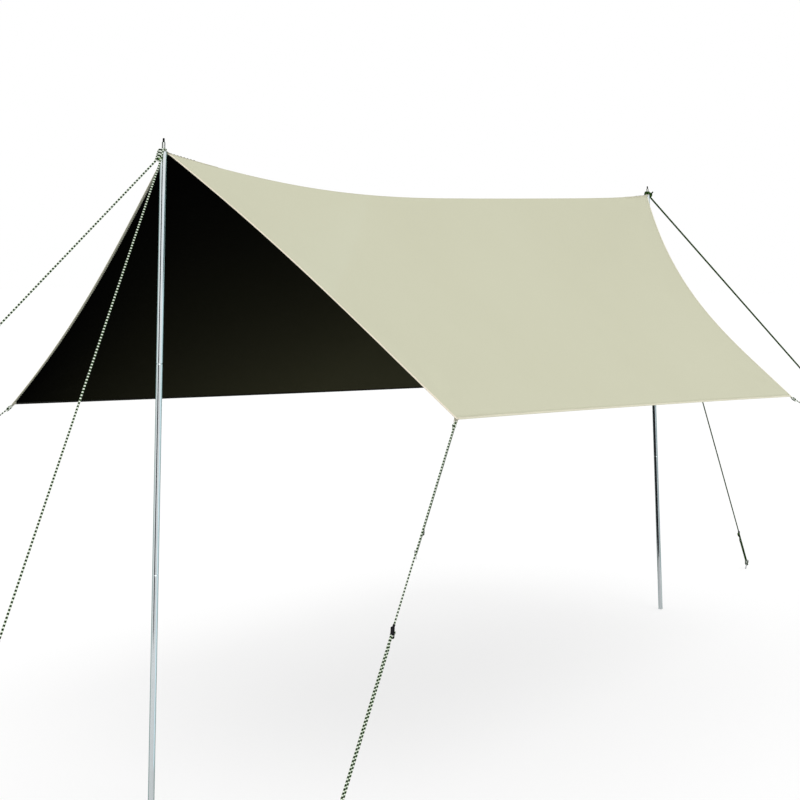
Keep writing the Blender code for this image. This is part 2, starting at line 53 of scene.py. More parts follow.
AXES = (Vector((1, 0, 0)), Vector((0, 1, 0)), UP)
ZERO = (0.0, 0.0, 0.0)
ROPE_PITCH = 0.0101
TINY = 1e-6
log = logging.getLogger("canopy_tent")

Colour = tuple[float, float, float]
Place = tuple[float, float, float]
Pair = tuple[float, float]
Line = Callable[[float], Vector]


class End(Enum):
    """Which end of the tent, numbered along +X."""

    FRONT = 0
    BACK = 1

    @property
    def word(self) -> str:
        """The name used in the nodes."""
        return self.name.lower()

    @property
    def inwards(self) -> int:
        """The X direction towards the middle of the tent."""
        return 1 - 2 * self.value


class Side(Enum):
    """Which slope, by the sign of its Y."""

    NEAR = -1
    FAR = 1

    @property
    def word(self) -> str:
        """The name used in the nodes."""
        return self.name.lower()


class Slot(Enum):
    """The record's material slots."""

    CLOTH = "outer_cloth"
    HEM = "hem_tape"
    WEBBING = "webbing"
    POLE = "pole_steel"
    SPIKE = "spike_steel"
    ROPE = "guy_rope"
    TENSIONER = "tensioner_plastic"
    PEG = "peg_steel"


# Modelling helpers

def deselect_all() -> None:
    """Leaves object mode with nothing selected."""
    if bpy.context.mode != "OBJECT":
        bpy.ops.object.mode_set(mode="OBJECT")
    for obj in list(bpy.context.selected_objects):
        obj.select_set(False)


def activate(obj: Object) -> None:
    """Makes this the only selected object, and the active one."""
    deselect_all()
    obj.select_set(True)
    bpy.context.view_layer.objects.active = obj


def apply_modifier(obj: Object, kind: str, **settings: object) -> None:
    """Adds a modifier, sets it and applies it.

    Args:
        obj: The object that it changes.
        kind: The modifier's type, such as SOLIDIFY.
        settings: Its values by name.
    """
    activate(obj)
    modifier = obj.modifiers.new(kind.title(), kind)
    for key, value in settings.items():
        setattr(modifier, key, value)
    bpy.ops.object.modifier_apply(modifier=modifier.name)


def smooth_shade(obj: Object, degrees: float = 40) -> None:
    """Shades the object smooth, but for edges sharper than this angle."""
    activate(obj)
    bpy.ops.object.shade_smooth_by_angle(angle=math.radians(degrees))


def settle(obj: Object, matrix: Matrix | None = None) -> None:
    """Puts the object's place, and this one, into its mesh."""
    bpy.context.view_layer.update()
    world = obj.matrix_world.copy()
    obj.data.transform(matrix @ world if matrix else world)
    obj.matrix_world = Matrix.Identity(4)


def settle_scale(obj: Object) -> None:
    """Puts the object's size into its mesh."""
    activate(obj)
    bpy.ops.object.transform_apply(location=False, rotation=False, scale=True)


def link(name: str, data: bpy.types.ID) -> Object:
    """A new object of the scene that holds this mesh, light or camera."""
    made = bpy.data.objects.new(name, data)
    bpy.context.scene.collection.objects.link(made)
    return made


def copy_piece(obj: Object, name: str, matrix: Matrix) -> Object:
    """A copy with its own mesh, placed in its mesh.

    Args:
        obj: The modelled piece, at the origin.
        name: The copy's name.
        matrix: Where the copy goes.

    Returns:
        The copy.
    """
    made = link(name, obj.data.copy())
    made.data.transform(matrix)
    made.data.name = name
    return made


def drop(obj: Object) -> None:
    """Removes a piece that was only a pattern for copies."""
    bpy.data.objects.remove(obj, do_unlink=True)


def dress(obj: Object, materials: Sequence[Material], slot: Slot, replaces: Sequence[str] = ()) -> Object:
    """Gives a finished piece its materials and its place in the frame.

    Args:
        obj: The finished piece.
        materials: Its materials, in the order of its faces' numbers.
        slot: The record's slot that its finish comes from. Not used.
        replaces: The nodes that it stands for.

    Returns:
        The same piece.
    """
    numbers = [polygon.material_index for polygon in obj.data.polygons]
    obj.data.materials.clear()
    for material in materials:
        obj.data.materials.append(material)
    obj.data.polygons.foreach_set("material_index", numbers)
    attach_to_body(obj, BODY)
    if replaces:
        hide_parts(*replaces)
    log.info("%s: %d faces", obj.name, len(obj.data.polygons))
    return obj


def frame_matrix(origin: Vector, x_axis: Vector, y_axis: Vector, z_axis: Vector) -> Matrix:
    """A placing matrix from an origin and three unit axes."""
    matrix = Matrix((x_axis, y_axis, z_axis)).transposed().to_4x4()
    matrix.translation = origin
    return matrix


def carried_grid(name: str, columns: int, rows: int, point_at: Callable[[int, int], Vector]) -> Object:
    """A grid whose points are carried to their places.

    Args:
        name: The object's name.
        columns: Faces along the grid.
        rows: Faces across it.
        point_at: Gives the place of a column and a row.

    Returns:
        The grid, with its UV map still from 0 to 1.
    """
    deselect_all()
    bpy.ops.mesh.primitive_grid_add(x_subdivisions=columns, y_subdivisions=rows, size=2)
    obj = bpy.context.object
    obj.name = obj.data.name = name
    for vert in obj.data.vertices:
        column = round((vert.co.x + 1) / 2 * columns)
        row = round((vert.co.y + 1) / 2 * rows)
        vert.co = point_at(column, row)
    return obj


def map_cloth(obj: Object, place: Callable[[float, float], Pair]) -> None:
    """Turns a grid's UV map, still from 0 to 1, into one in metres."""
    layer = obj.data.uv_layers[0]
    layer.name = "cloth"
    for item in layer.data:
        item.uv = place(item.uv.x, item.uv.y)


def edit(obj: Object, *steps: Callable[[], object]) -> None:
    """Runs edit-mode steps on all of the mesh."""
    activate(obj)
    bpy.ops.object.mode_set(mode="EDIT")
    bpy.ops.mesh.select_all(action="SELECT")
    for step in steps:
        step()
    bpy.ops.object.mode_set(mode="OBJECT")


def close_seam(obj: Object) -> None:
    """Merges doubles, fills the open ends and turns the faces outwards."""
    edit(
        obj,
        lambda: bpy.ops.mesh.remove_doubles(threshold=TINY),
        lambda: bpy.ops.mesh.fill_holes(sides=0),
        lambda: bpy.ops.mesh.normals_make_consistent(inside=False),
    )


def turned_piece(name: str, profile: Sequence[Pair], sides: int, hollow: bool = False) -> Object:
    """A piece turned about Z, by extruding a ring and resizing it step by step.

    Args:
        name: The object's name.
        profile: Radius and height of each ring. A hollow piece's profile goes round its wall.
        sides: Faces round the piece.
        hollow: True for a tube whose wall the profile goes round.

    Returns:
        The closed piece.
    """
    deselect_all()
    radius, height = profile[0]
    bpy.ops.mesh.primitive_circle_add(
        vertices=sides, radius=radius, fill_type="NOTHING" if hollow else "NGON", location=(0, 0, height)
    )
    obj = bpy.context.object
    obj.name = obj.data.name = name
    settle(obj)
    activate(obj)
    bpy.ops.object.mode_set(mode="EDIT")
    bpy.ops.mesh.select_all(action="SELECT")
    rings = list(profile[1:]) + ([profile[0]] if hollow else [])
    for new_radius, new_height in rings:
        bpy.ops.mesh.extrude_region_move(
            TRANSFORM_OT_translate={"value": (0, 0, new_height - height), "orient_type": "GLOBAL"}
        )
        scale = new_radius / radius
        bpy.ops.transform.resize(
            value=(scale, scale, 1), orient_type="GLOBAL", center_override=(0, 0, new_height)
        )
        radius, height = new_radius, new_height
    bpy.ops.mesh.select_all(action="SELECT")
    bpy.ops.mesh.remove_doubles(threshold=TINY)
    bpy.ops.mesh.normals_make_consistent(inside=False)
    bpy.ops.object.mode_set(mode="OBJECT")
    return obj


def as_array(points: Iterable[Vector]) -> np.ndarray:
    """Points as rows of numbers."""
    return np.array([tuple(point) for point in points])


def upwards(direction: Vector, up: Vector = UP) -> Vector:
    """This direction or its opposite, whichever points up."""
    return direction if direction.dot(up) > 0 else -direction


def running_length(points: np.ndarray) -> np.ndarray:
    """The length along a line at each of its points."""
    return np.r_[0, np.cumsum(np.linalg.norm(np.diff(points, axis=0), axis=1))]


def point_along(line: np.ndarray, lengths: np.ndarray, wanted: float) -> Vector:
    """The point of a line at this length along it."""
    return Vector([float(np.interp(wanted, lengths, line[:, axis])) for axis in range(3)])


def lengths_along(line: Sequence[Vector]) -> list[float]:
    """The length along a line at each of its points."""
    return [0.0, *accumulate((second - first).length for first, second in zip(line, line[1:]))]


def resampled(points: np.ndarray, step: float) -> np.ndarray:
    """The same line with a point at every step of its length."""
    lengths = running_length(points)
    count = max(2, round(lengths[-1] / step) + 1)
    wanted = np.linspace(0, lengths[-1], count)
    return np.stack([np.interp(wanted, lengths, points[:, axis]) for axis in range(3)], 1)


def smoothed(points: np.ndarray, step: float, reach: float) -> np.ndarray:
    """A line with its corners eased over this reach.

    Args:
        points: The line's points.
        step: Spacing of the points that come back.
        reach: Length over which a corner is eased.

    Returns:
        Points at that spacing, from the same first point to the same last one.
    """
    fine = resampled(points, step / 2)
    half = max(1, round(reach / step))
    window = np.hanning(2 * half + 3)[1:-1]
    window /= window.sum()
    head = 2 * fine[0] - fine[1 : half + 1][::-1]
    tail = 2 * fine[-1] - fine[-half - 1 : -1][::-1]
    padded = np.vstack([head, fine, tail])
    eased = np.stack([np.convolve(padded[:, axis], window, "valid") for axis in range(3)], 1)
    return resampled(eased, step)


def tube_mesh(
    name: str,
    path: np.ndarray,
    sides: int,
    radius_at: Callable[[np.ndarray, np.ndarray], np.ndarray],
    end_shape: Sequence[Pair],
) -> Object:
    """A round cord or wire along a path, with its UV map in turns and metres.

    Args:
        name: The object's name.
        path: The centreline's points.
        sides: Faces round it.
        radius_at: Gives the radius from the angle and the length along.
        end_shape: For each rounding ring of an end, how far out it lies and its share of the radius.

    Returns:
        The closed tube.
    """
    tangents = np.gradient(path, axis=0)
    tangents /= np.linalg.norm(tangents, axis=1)[:, None]
    along = running_length(path)
    across = np.zeros_like(path)
    guess = np.cross(tangents[0], (0.0, 0.0, 1.0))
    if np.linalg.norm(guess) < 0.1:
        guess = np.cross(tangents[0], (1.0, 0.0, 0.0))
    for index, tangent in enumerate(tangents):
        guess = guess - tangent * (guess @ tangent)
        guess = guess / np.linalg.norm(guess)
        across[index] = guess
    last = len(path) - 1
    head = [(0, -out, share) for out, share in end_shape[::-1]]
    body = [(index, 0.0, 1.0) for index in range(len(path))]
    tail = [(last, out, share) for out, share in end_shape]
    rings = head + body + tail
    index, shift, share = (np.array(column) for column in zip(*rings))
    centre = path[index] + tangents[index] * shift[:, None]
    length = along[index] + shift
    angle = np.arange(sides) / sides * 2 * np.pi
    first, second = across[index], np.cross(tangents[index], across[index])
    radius = radius_at(angle[None, :], length[:, None]) * share[:, None]
    around = np.cos(angle)[None, :, None] * first[:, None] + np.sin(angle)[None, :, None] * second[:, None]
    verts = (centre[:, None] + around * radius[:, :, None]).reshape(-1, 3)
    ring, side = np.meshgrid(np.arange(len(rings) - 1), np.arange(sides), indexing="ij")
    near, far, following = ring * sides, (ring + 1) * sides, (side + 1) % sides
    quads = np.stack([near + side, near + following, far + following, far + side], -1).reshape(-1, 4)
    end = (len(rings) - 1) * sides
    faces = [*quads.tolist(), list(range(sides))[::-1], list(range(end, end + sides))]
    mesh = bpy.data.meshes.new(name)
    mesh.from_pydata(verts.tolist(), [], faces)
    turns = np.stack([side, side + 1, side + 1, side], -1).reshape(-1) / sides
    lengths = np.stack([length[ring], length[ring], length[ring + 1], length[ring + 1]], -1).reshape(-1)
    caps = np.zeros((2 * sides, 2))
    caps[sides:, 1] = along[-1]
    uv = np.vstack([np.stack([turns, lengths], 1), caps])
    mesh.uv_layers.new(name="along_rope").uv.foreach_set("vector", uv.astype(np.float32).ravel())
    mesh.shade_smooth()
    return link(name, mesh)


# Material helpers

class Graph:
    """Adds and joins the nodes of one node tree."""

    def __init__(self, tree: NodeTree) -> None:
        """Starts on this tree."""
        self.tree = tree

    def node(self, kind: str, inputs: Mapping[str | int, object] | None = None, **settings: object) -> Node:
        """Adds a node.

        Args:
            kind: The node's type name.
            inputs: A value or a socket for each named input.
            settings: The node's options.

        Returns:
            The node.
        """
        made = self.tree.nodes.new(kind)
        for key, value in settings.items():
            setattr(made, key, value)
        for key, value in (inputs or {}).items():
            self.feed(made.inputs[key], value)
        return made

    def feed(self, socket: Socket, value: object) -> None:
        """Links a socket to an input, or sets the input's value."""
        if isinstance(value, Socket):
            self.tree.links.new(value, socket)
        elif isinstance(value, tuple) and len(value) == 3 and socket.type == "RGBA":
            socket.default_value = (*value, 1.0)
        else:
            socket.default_value = value

    def maths(self, operation: str, *values: object, clamp: bool = False) -> Socket:
        """The result of one sum on values or sockets."""
        made = self.node("ShaderNodeMath", dict(enumerate(values)), operation=operation, use_clamp=clamp)
        return made.outputs[0]

    def times(self, first: object, second: object) -> Socket:
        """The product of two values or sockets."""
        return self.maths("MULTIPLY", first, second)

    def plus(self, first: object, second: object) -> Socket:
        """The sum of two values or sockets."""
        return self.maths("ADD", first, second)

    def mix(self, share: object, first: object, second: object) -> Socket:
        """A colour between two."""
        made = self.node("ShaderNodeMix", data_type="RGBA")
        self.feed(made.inputs[0], share)
        self.feed(made.inputs[6], first)
        self.feed(made.inputs[7], second)
        return made.outputs[2]

    def band(
        self, value: object, low: float, high: float, to_low: float = 0.0, to_high: float = 1.0
    ) -> Socket:
        """The value carried from one range to another, and held inside it."""
        inputs = {0: value, 1: low, 2: high, 3: to_low, 4: to_high}
        return self.node("ShaderNodeMapRange", inputs, clamp=True).outputs[0]

    def noise(self, vector: object, scale: float, detail: float = 2.0, roughness: float = 0.5) -> Socket:
        """Cloudy noise between 0 and 1."""
        inputs = {"Vector": vector, "Scale": scale, "Detail": detail, "Roughness": roughness}
        return self.node("ShaderNodeTexNoise", inputs).outputs[0]

    def stretched(self, vector: object, scale: tuple[float, float, float]) -> Socket:
        """Coordinates scaled on each axis."""
        return self.node("ShaderNodeMapping", {"Vector": vector, "Scale": scale}).outputs[0]

    def group(self, tree: NodeTree, **inputs: object) -> bpy.types.NodeOutputs:
        """Places a node group, its inputs named with spaces for underscores."""
        made = self.node("ShaderNodeGroup", node_tree=tree)
        for key, value in inputs.items():
            self.feed(made.inputs[key.replace("_", " ").capitalize()], value)
        return made.outputs


def socket_kind(name: str, value: object = 0.0) -> str:
    """A colour if the name says so, a vector for three numbers, or else a plain number."""
    if "colour" in name.lower():
        return "NodeSocketColor"
    return "NodeSocketVector" if isinstance(value, tuple) else "NodeSocketFloat"


def new_group(
    name: str, inputs: Mapping[str, object], outputs: Iterable[str]
) -> tuple[Graph, dict[str, Socket], Node]:
    """A shader node group with named sockets.

    Args:
        name: The group's name.
        inputs: Each input's first value.
        outputs: Names of the outputs.

    Returns:
        The group's graph, its input sockets and its output node.
    """
    tree = bpy.data.node_groups.new(name, "ShaderNodeTree")
    for key, value in inputs.items():
        kind = socket_kind(key, value)
        made = tree.interface.new_socket(key, in_out="INPUT", socket_type=kind)
        made.default_value = (*value, 1.0) if kind == "NodeSocketColor" else value
    for key in outputs:
        tree.interface.new_socket(key, in_out="OUTPUT", socket_type=socket_kind(key))
    graph = Graph(tree)
    start, end = graph.node("NodeGroupInput"), graph.node("NodeGroupOutput")
    return graph, {key: start.outputs[key] for key in inputs}, end


def new_material(name: str, values: Mapping[str, object]) -> tuple[Material, Graph, Node]:
    """A material of nodes.

    Args:
        name: The material's name.
        values: Values of its Principled shader, by socket.

    Returns:
        The material, its graph and its shader.
    """
    material = bpy.data.materials.new(name)
    material.use_nodes = True
    graph = Graph(material.node_tree)
    shader = material.node_tree.nodes["Principled BSDF"]
    for key, value in values.items():
        graph.feed(shader.inputs[key], value)
    return material, graph, shader


class Effects:
    """Node groups that several finishes share, each built once."""

    def __init__(self) -> None:
        """Builds the groups."""
        self.weave = self.make_weave()
        self.soil = self.make_soil()
        self.braid = self.make_braid()
        self.metal = self.make_metal()

    @staticmethod
    def make_weave() -> NodeTree:
        """Crossing threads over coordinates in metres."""
        graph, given, end = new_group("Plain weave", {"Vector": ZERO, "Pitch": 0.0006}, ("Height",))
        axes = graph.node("ShaderNodeSeparateXYZ", {0: given["Vector"]})
        angle = graph.maths("DIVIDE", 2 * math.pi, given["Pitch"])
        waves = [graph.maths("SINE", graph.times(axes.outputs[index], angle)) for index in (0, 1)]
        rounded = [graph.maths("ABSOLUTE", wave) for wave in waves]
        over = graph.maths("GREATER_THAN", graph.times(waves[0], waves[1]), 0.0)
        height = graph.node("ShaderNodeMix", {0: over, 2: rounded[0], 3: rounded[1]}).outputs[0]
        graph.feed(end.inputs["Height"], height)
        return graph.tree

    @staticmethod
    def make_soil() -> NodeTree:
        """Uneven tint: broad patches, and fine flecks of dust."""
        graph, given, end = new_group(
            "Uneven tint",
            {"Vector": ZERO, "Base colour": (0.5, 0.5, 0.5), "Worn colour": (0.4, 0.4, 0.4),
             "Patch scale": 3.0, "Fleck scale": 60.0, "Amount": 0.3},
            ("Colour", "Mask"),
        )
        patches = graph.band(graph.noise(given["Vector"], given["Patch scale"], 4.0, 0.55), 0.35, 0.72)
        flecks = graph.band(graph.noise(given["Vector"], given["Fleck scale"], 3.0, 0.6), 0.45, 0.75)
        mask = graph.plus(graph.times(patches, 0.7), graph.times(flecks, 0.3))
        share = graph.maths("MULTIPLY", mask, given["Amount"], clamp=True)
        graph.feed(end.inputs["Colour"], graph.mix(share, given["Base colour"], given["Worn colour"]))
        graph.feed(end.inputs["Mask"], mask)
        return graph.tree

    @staticmethod
    def make_braid() -> NodeTree:
        """A braid with one pair of marked strands, from coordinates in turns and metres."""
        graph, given, end = new_group(
            "Braid", {"Vector": ZERO, "Pitch": 0.01}, ("Height", "Marks", "Fibres")
        )
        axes = graph.node("ShaderNodeSeparateXYZ", {0: given["Vector"]})
        turns, advance = axes.outputs[0], graph.maths("DIVIDE", axes.outputs[1], given["Pitch"])

        def wave(strands: float, lay: float) -> Socket:
            """Waves this many times round the rope, and this many times in a pitch along it."""
            winding = graph.plus(graph.times(turns, strands), graph.times(advance, lay))
            return graph.maths("COSINE", graph.times(winding, 2 * math.pi))

        drift = graph.noise(graph.stretched(given["Vector"], (2.0, 60.0, 1.0)), 1.0)
        uneven = graph.times(graph.maths("SUBTRACT", drift, 0.5), 0.35)
        crossing = graph.times(graph.plus(wave(4, 1), wave(4, -1)), 0.25)
        fibres = wave(24, 1.5)
        graph.feed(end.inputs["Height"], graph.plus(crossing, graph.times(fibres, 0.08)))
        bands = graph.plus(graph.times(wave(1, 1), 0.3), graph.times(wave(0, 1), 0.7))
        graph.feed(end.inputs["Marks"], graph.plus(bands, uneven))
        graph.feed(end.inputs["Fibres"], fibres)
        return graph.tree

    @staticmethod
    def make_metal() -> NodeTree:
        """Drawn metal: long streaks, faint crystals and small scratches."""
        graph, given, end = new_group(
            "Drawn metal", {"Vector": ZERO, "Streak scale": 900.0, "Crystal scale": 350.0},
            ("Streaks", "Crystals", "Scratches"),
        )
        vector, crystal_scale = given["Vector"], given["Crystal scale"]
        long_way = graph.stretched(vector, (1.0, 1.0, 0.02))
        graph.feed(end.inputs["Streaks"], graph.noise(long_way, given["Streak scale"], 3.0))
        cells = graph.node("ShaderNodeTexVoronoi", {"Vector": vector, "Scale": crystal_scale})
        grey = graph.node("ShaderNodeRGBToBW", {0: cells.outputs["Color"]}).outputs[0]
        graph.feed(end.inputs["Crystals"], grey)
        short_way = graph.stretched(vector, (1.0, 1.0, 0.2))
        scratches = graph.band(graph.noise(short_way, crystal_scale, 5.0, 0.7), 0.62, 0.70)
        graph.feed(end.inputs["Scratches"], scratches)
        return graph.tree


@dataclass(frozen=True)
class Finish:
    """A surface: its name, its plain Principled values and the UV map that its pattern follows."""

    name: str
    roughness: float = 0.6
    metallic: float = 0.0
    specular: float = 0.5
    uv_map: str = ""

    def shade(self, graph: Graph, shader: Node, place: Socket, effects: Effects) -> None:
        """Adds the surface's own nodes, which follow these coordinates."""
        raise NotImplementedError

    def make(self, effects: Effects) -> Material:
        """Builds the material."""
        material, graph, shader = new_material(self.name, {
            "Roughness": self.roughness, "Metallic": self.metallic, "Specular IOR Level": self.specular,
        })
        if self.uv_map:
            place = graph.node("ShaderNodeUVMap", uv_map=self.uv_map).outputs[0]
        else:
            place = graph.node("ShaderNodeTexCoord").outputs["Object"]
        self.shade(graph, shader, place, effects)
        return material

    @staticmethod
    def bump(graph: Graph, shader: Node, height: Socket, distance: float, strength: float) -> None:
        """Feeds a height to the shader's normal."""
        made = graph.node("ShaderNodeBump", {"Height": height, "Distance": distance, "Strength": strength})
        graph.feed(shader.inputs["Normal"], made.outputs[0])


@dataclass(frozen=True)
class TintedFinish(Finish):
    """A surface whose colour turns to a worn one in patches and flecks."""

    colour: Colour = (0.5, 0.5, 0.5)
    # The worn colour; cloth and tape also use it as painted shade in the low places of their weave.
    worn: Colour = (0.3, 0.3, 0.3)
    patch_scale: float = 6.0
    fleck_scale: float = 400.0
    amount: float = 0.5

    def tint(self, graph: Graph, effects: Effects, place: Socket) -> bpy.types.NodeOutputs:
        """Its colour, and a mask of where it is worn."""
        return graph.group(
            effects.soil, vector=place, base_colour=self.colour, worn_colour=self.worn,
            patch_scale=self.patch_scale, fleck_scale=self.fleck_scale, amount=self.amount,
        )

    def roughen(self, graph: Graph, shader: Node, mask: Socket, smoother: float, rougher: float) -> None:
        """Makes the clean places this much smoother, and the worn ones this much rougher."""
        rough = graph.band(mask, 0.0, 1.0, self.roughness - smoother, self.roughness + rougher)
        graph.feed(shader.inputs["Roughness"], rough)


@dataclass(frozen=True)
class CoatedCloth(TintedFinish):
    """Coated woven cloth with a soft uneven tint, and optional painted light that turns it paler along the
    ridge and down the slope.
    """

    uv_map: str = "cloth"
    patch_scale: float = 1.3
    fleck_scale: float = 90.0
    amount: float = 0.35
    pitch: float = 0.0009
    painted_light: Colour | None = None
    painted_light_along: float = 1.9
    painted_light_down: float = 1.25

    def shade(self, graph: Graph, shader: Node, place: Socket, effects: Effects) -> None:
        """Adds the surface's own nodes."""
        tint = self.tint(graph, effects, place)
        weave = graph.group(effects.weave, vector=place, pitch=self.pitch)
        # Painted shade: the weave's low places turn to the worn colour.
        shade = graph.times(graph.band(weave["Height"], 0.0, 0.6, 0.35, 0.0), 0.35)
        colour = graph.mix(shade, tint["Colour"], self.worn)
        # Painted light: paler towards the back and down towards the eave, standing in for light from the pale
        # floor on the black underside.
        if self.painted_light:
            axes = graph.node("ShaderNodeSeparateXYZ", {0: place})
            along = graph.band(axes.outputs[0], 0.0, self.painted_light_along)
            down = graph.band(graph.maths("ABSOLUTE", axes.outputs[1]), 0.0, self.painted_light_down, 0.08, 1.0)
            colour = graph.mix(graph.times(along, down), colour, self.painted_light)
        graph.feed(shader.inputs["Base Color"], colour)
        self.roughen(graph, shader, tint["Mask"], 0.06, 0.08)
        self.bump(graph, shader, weave["Height"], self.pitch * 0.25, 0.35)


@dataclass(frozen=True)
class WovenTape(TintedFinish):
    """Ribbed tape or webbing, with cross ribs along its length."""

    uv_map: str = "cloth"
    patch_scale: float = 9.0
    rib: float = 0.0016
    depth: float = 0.0003

    def shade(self, graph: Graph, shader: Node, place: Socket, effects: Effects) -> None:
        """Adds the surface's own nodes."""
        tint = self.tint(graph, effects, place)
        weave = graph.group(effects.weave, vector=place, pitch=self.rib)
        # Painted shade: the ribs' low places turn to the worn colour.
        shade = graph.band(weave["Height"], 0.0, 0.7, 0.55, 0.0)
        graph.feed(shader.inputs["Base Color"], graph.mix(shade, tint["Colour"], self.worn))
        self.roughen(graph, shader, tint["Mask"], 0.08, 0.06)
        self.bump(graph, shader, weave["Height"], self.depth, 0.8)


@dataclass(frozen=True)
class BraidedRope(Finish):
    """Braided cord: dark and pale marks wind round it, with green between them, and painted shade darkens its
    rim.
    """

    uv_map: str = "along_rope"
    pale: Colour = (0.92, 0.98, 0.88)
    green: Colour = (0.15, 0.32, 0.06)
    dark: Colour = (0.004, 0.014, 0.003)
    # Colour of the painted shade at the rim.
    edge: Colour = (0.020, 0.060, 0.010)
    painted_rim_share: float = 0.35
    pitch: float = ROPE_PITCH

    def shade(self, graph: Graph, shader: Node, place: Socket, effects: Effects) -> None:
        """Adds the surface's own nodes."""
        braid = graph.group(effects.braid, vector=place, pitch=self.pitch)
        low = graph.mix(graph.band(braid["Marks"], -0.12, 0.04), self.dark, self.green)
        marked = graph.mix(graph.band(braid["Marks"], 0.12, 0.26), low, self.pale)
        fuzzy = graph.mix(graph.band(braid["Fibres"], 0.2, 1.0, 0.0, 0.10), marked, self.green)
        facing = graph.node("ShaderNodeLayerWeight", {"Blend": 0.5}).outputs["Facing"]
        # Painted shade: towards the grazing edge the colour turns to the edge colour.
        shaded = graph.mix(graph.band(facing, 0.15, 0.55, 0.0, self.painted_rim_share), fuzzy, self.edge)
        graph.feed(shader.inputs["Base Color"], shaded)
        graph.feed(shader.inputs["Roughness"], graph.band(braid["Marks"], -0.3, 0.3, self.roughness, 0.45))
        self.bump(graph, shader, braid["Height"], 0.0006, 0.9)


@dataclass(frozen=True)
class BareMetal(TintedFinish):
    """Steel with drawn streaks, faint crystals, scratches and dull patches, and a painted reflection at its
    grazing edge.
    """

    patch_scale: float = 14.0
    fleck_scale: float = 700.0
    amount: float = 0.55
    # Rim colour, metallic value and facing band of the painted reflection at the grazing edge.
    rim: Colour = (0.4, 0.4, 0.4)
    painted_rim_metallic: float = 1.0
    painted_rim_band: Pair = (0.25, 1.0)
    streak: float = 0.10
    relief: float = 0.00002

    def shade(self, graph: Graph, shader: Node, place: Socket, effects: Effects) -> None:
        """Adds the surface's own nodes."""
        metal = graph.group(effects.metal, vector=place, streak_scale=900.0, crystal_scale=350.0)
        tint = self.tint(graph, effects, place)
        marked = graph.mix(graph.times(metal["Crystals"], 0.18), tint["Colour"], self.worn)
        # Painted reflection: towards the grazing edge the colour turns to the rim colour, and the metallic
        # value to the rim's where that is lower.
        facing = graph.node("ShaderNodeLayerWeight", {"Blend": 0.35}).outputs["Facing"]
        edge = graph.band(facing, *self.painted_rim_band)
        graph.feed(shader.inputs["Base Color"], graph.mix(edge, marked, self.rim))
        if self.painted_rim_metallic < 1:
            graph.feed(shader.inputs["Metallic"], graph.band(edge, 0.0, 1.0, self.metallic, self.painted_rim_metallic))
        streaks = graph.times(metal["Streaks"], self.streak)
        rough = graph.plus(self.roughness - self.streak / 2, streaks)
        rough = graph.plus(rough, graph.times(metal["Scratches"], 0.08))
        graph.feed(shader.inputs["Roughness"], rough)
        self.bump(graph, shader, metal["Streaks"], self.relief, 0.5)


@dataclass(frozen=True)
class MouldedPlastic(TintedFinish):
    """Moulded plastic with a fine grain and rubbed patches."""

    patch_scale: float = 120.0
    fleck_scale: float = 900.0
    amount: float = 0.6

    def shade(self, graph: Graph, shader: Node, place: Socket, effects: Effects) -> None:
        """Adds the surface's own nodes."""
        tint = self.tint(graph, effects, place)
        graph.feed(shader.inputs["Base Color"], tint["Colour"])
        self.roughen(graph, shader, tint["Mask"], 0.1, 0.1)
        self.bump(graph, shader, graph.noise(place, 2500.0, 2.0), 0.00006, 0.5)


@dataclass(frozen=True)
class SewingThread(TintedFinish):
    """Twisted sewing thread, with painted shade mixed in at random patches and flecks."""

    # Darker colour mixed in at random patches and flecks: painted shade between the twisted fibres.
    worn: Colour = (0.3, 0.28, 0.2)
    fleck_scale: float = 1500.0
    amount: float = 0.7

    def shade(self, graph: Graph, shader: Node, place: Socket, effects: Effects) -> None:
        """Adds the surface's own nodes."""
        graph.feed(shader.inputs["Base Color"], self.tint(graph, effects, place)["Colour"])
        self.bump(graph, shader, graph.noise(place, 4000.0, 2.0), 0.00008, 0.6)


